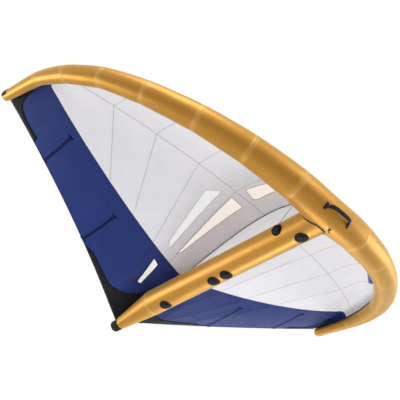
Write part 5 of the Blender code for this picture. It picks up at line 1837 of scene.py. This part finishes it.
class WING_OT_stage(bpy.types.Operator):
    """Set the camera, the lamps, the pale floor and the surround"""

    bl_idname = "wing.stage"
    bl_label = "Stage"

    def execute(self, context):
        stage, scene = context.scene.wing_stage, context.scene
        data = bpy.data.cameras.new("camera")
        data.lens, data.sensor_width = stage.lens, 36
        data.clip_start, data.clip_end = 0.05, 80
        camera = bpy.data.objects.new("camera", data)
        scene.collection.objects.link(camera)
        camera.matrix_world = axes_frame(CAMERA_PLACE, *CAMERA_AXES)
        scene.camera = camera
        self.surround(scene, stage)
        self.floor(scene)
        for name, place, size, power in LAMPS:
            lamp(scene, name, place, size, power * stage.lamp_level)
        scene.view_settings.view_transform = "Standard"
        return {"FINISHED"}

    def surround(self, scene, stage):
        """Even light from all round, and plain white behind the wing."""
        world = bpy.data.worlds.new("surround")
        scene.world = world
        tree = Tree(world)
        tree.nodes.clear()
        camera, glossy, through = (tree.add("ShaderNodeLightPath", out=f"Is {kind} Ray")
                                   for kind in ("Camera", "Glossy", "Transmission"))
        seen = tree.larger(tree.larger(camera, glossy), through)
        level = tree.add("ShaderNodeMapRange", {},
                         {"Value": seen, "To Min": stage.sky, "To Max": 1.0})
        light = tree.add("ShaderNodeBackground", {}, {"Color": (1, 1, 1), "Strength": level})
        tree.add("ShaderNodeOutputWorld", {}, {"Surface": light})

    def floor(self, scene):
        """A wide pale floor, clear from beneath."""
        mesh = bpy.data.meshes.new("floor")
        corners = ((-1, -1), (1, -1), (1, 1), (-1, 1))
        mesh.from_pydata([(x * FLOOR_HALF, y * FLOOR_HALF, FLOOR_HEIGHT) for x, y in corners], [],
                         [(0, 1, 2, 3)])
        look = bpy.data.materials.new("floor_paper")
        tree = Tree(look)
        tree.nodes.clear()
        matt = tree.add("ShaderNodeBsdfDiffuse", {}, {"Color": FLOOR_PAPER})
        glow = tree.add("ShaderNodeEmission")
        share = tree.add("ShaderNodeLightPath", out="Is Camera Ray") * FLOOR_GLOW
        pale = tree.add("ShaderNodeMixShader", {}, {0: share, 1: matt, 2: glow})
        clear = tree.add("ShaderNodeBsdfTransparent")
        below = tree.add("ShaderNodeNewGeometry", out="Backfacing")
        blend = tree.add("ShaderNodeMixShader", {}, {0: below, 1: pale, 2: clear})
        tree.add("ShaderNodeOutputMaterial", {}, {"Surface": blend})
        mesh.materials.append(look)
        floor = bpy.data.objects.new("floor", mesh)
        scene.collection.objects.link(floor)


def lamp(scene, name, place, size, power):
    """A broad soft lamp that looks at the middle of the wing."""
    data = bpy.data.lights.new(name, "AREA")
    data.shape = "DISK"
    data.size = size
    data.energy = power
    obj = bpy.data.objects.new(name, data)
    scene.collection.objects.link(obj)
    obj.visible_camera = False
    obj.location = place
    obj.rotation_mode = "QUATERNION"
    obj.rotation_quaternion = (LAMP_TARGET - Vector(place)).to_track_quat("-Z", "Y")


class WING_PT_panel(bpy.types.Panel):
    """Sizes, colours and pieces of the foiling wing"""

    bl_idname = "WING_PT_panel"
    bl_label = "Foiling wing"
    bl_space_type = "VIEW_3D"
    bl_region_type = "UI"
    bl_category = "Foiling wing"

    def draw(self, context):
        layout = self.layout
        for name in GROUPS:
            group = getattr(context.scene, name)
            box = layout.box()
            for key in group.__annotations__:
                box.prop(group, key)
        for piece in PIECES:
            layout.operator(piece.bl_idname)


PIECES = (
    WING_OT_leading_edge,
    WING_OT_strut,
    WING_OT_canopy,
    WING_OT_patches,
    WING_OT_web,
    WING_OT_piping,
    WING_OT_battens,
    WING_OT_plates,
    WING_OT_valve,
    WING_OT_caps,
    WING_OT_handle,
    WING_OT_leash,
    WING_OT_stage,
)
GROUPS = {
    "wing_sizes": WingSizes,
    "wing_fittings": FittingSizes,
    "wing_colours": WingColours,
    "wing_stage": WingStage,
}


def register():
    for group in GROUPS.values():
        bpy.utils.register_class(group)
    for name, group in GROUPS.items():
        setattr(bpy.types.Scene, name, PointerProperty(type=group))
    for piece in (*PIECES, WING_PT_panel):
        bpy.utils.register_class(piece)


def unregister():
    for piece in (WING_PT_panel, *reversed(PIECES)):
        bpy.utils.unregister_class(piece)
    for name in GROUPS:
        delattr(bpy.types.Scene, name)
    for group in GROUPS.values():
        bpy.utils.unregister_class(group)


def main():
    """Make every piece."""
    register()
    for piece in PIECES:
        getattr(bpy.ops.wing, piece.bl_idname.removeprefix("wing."))()


if __name__ == "__main__":
    main()
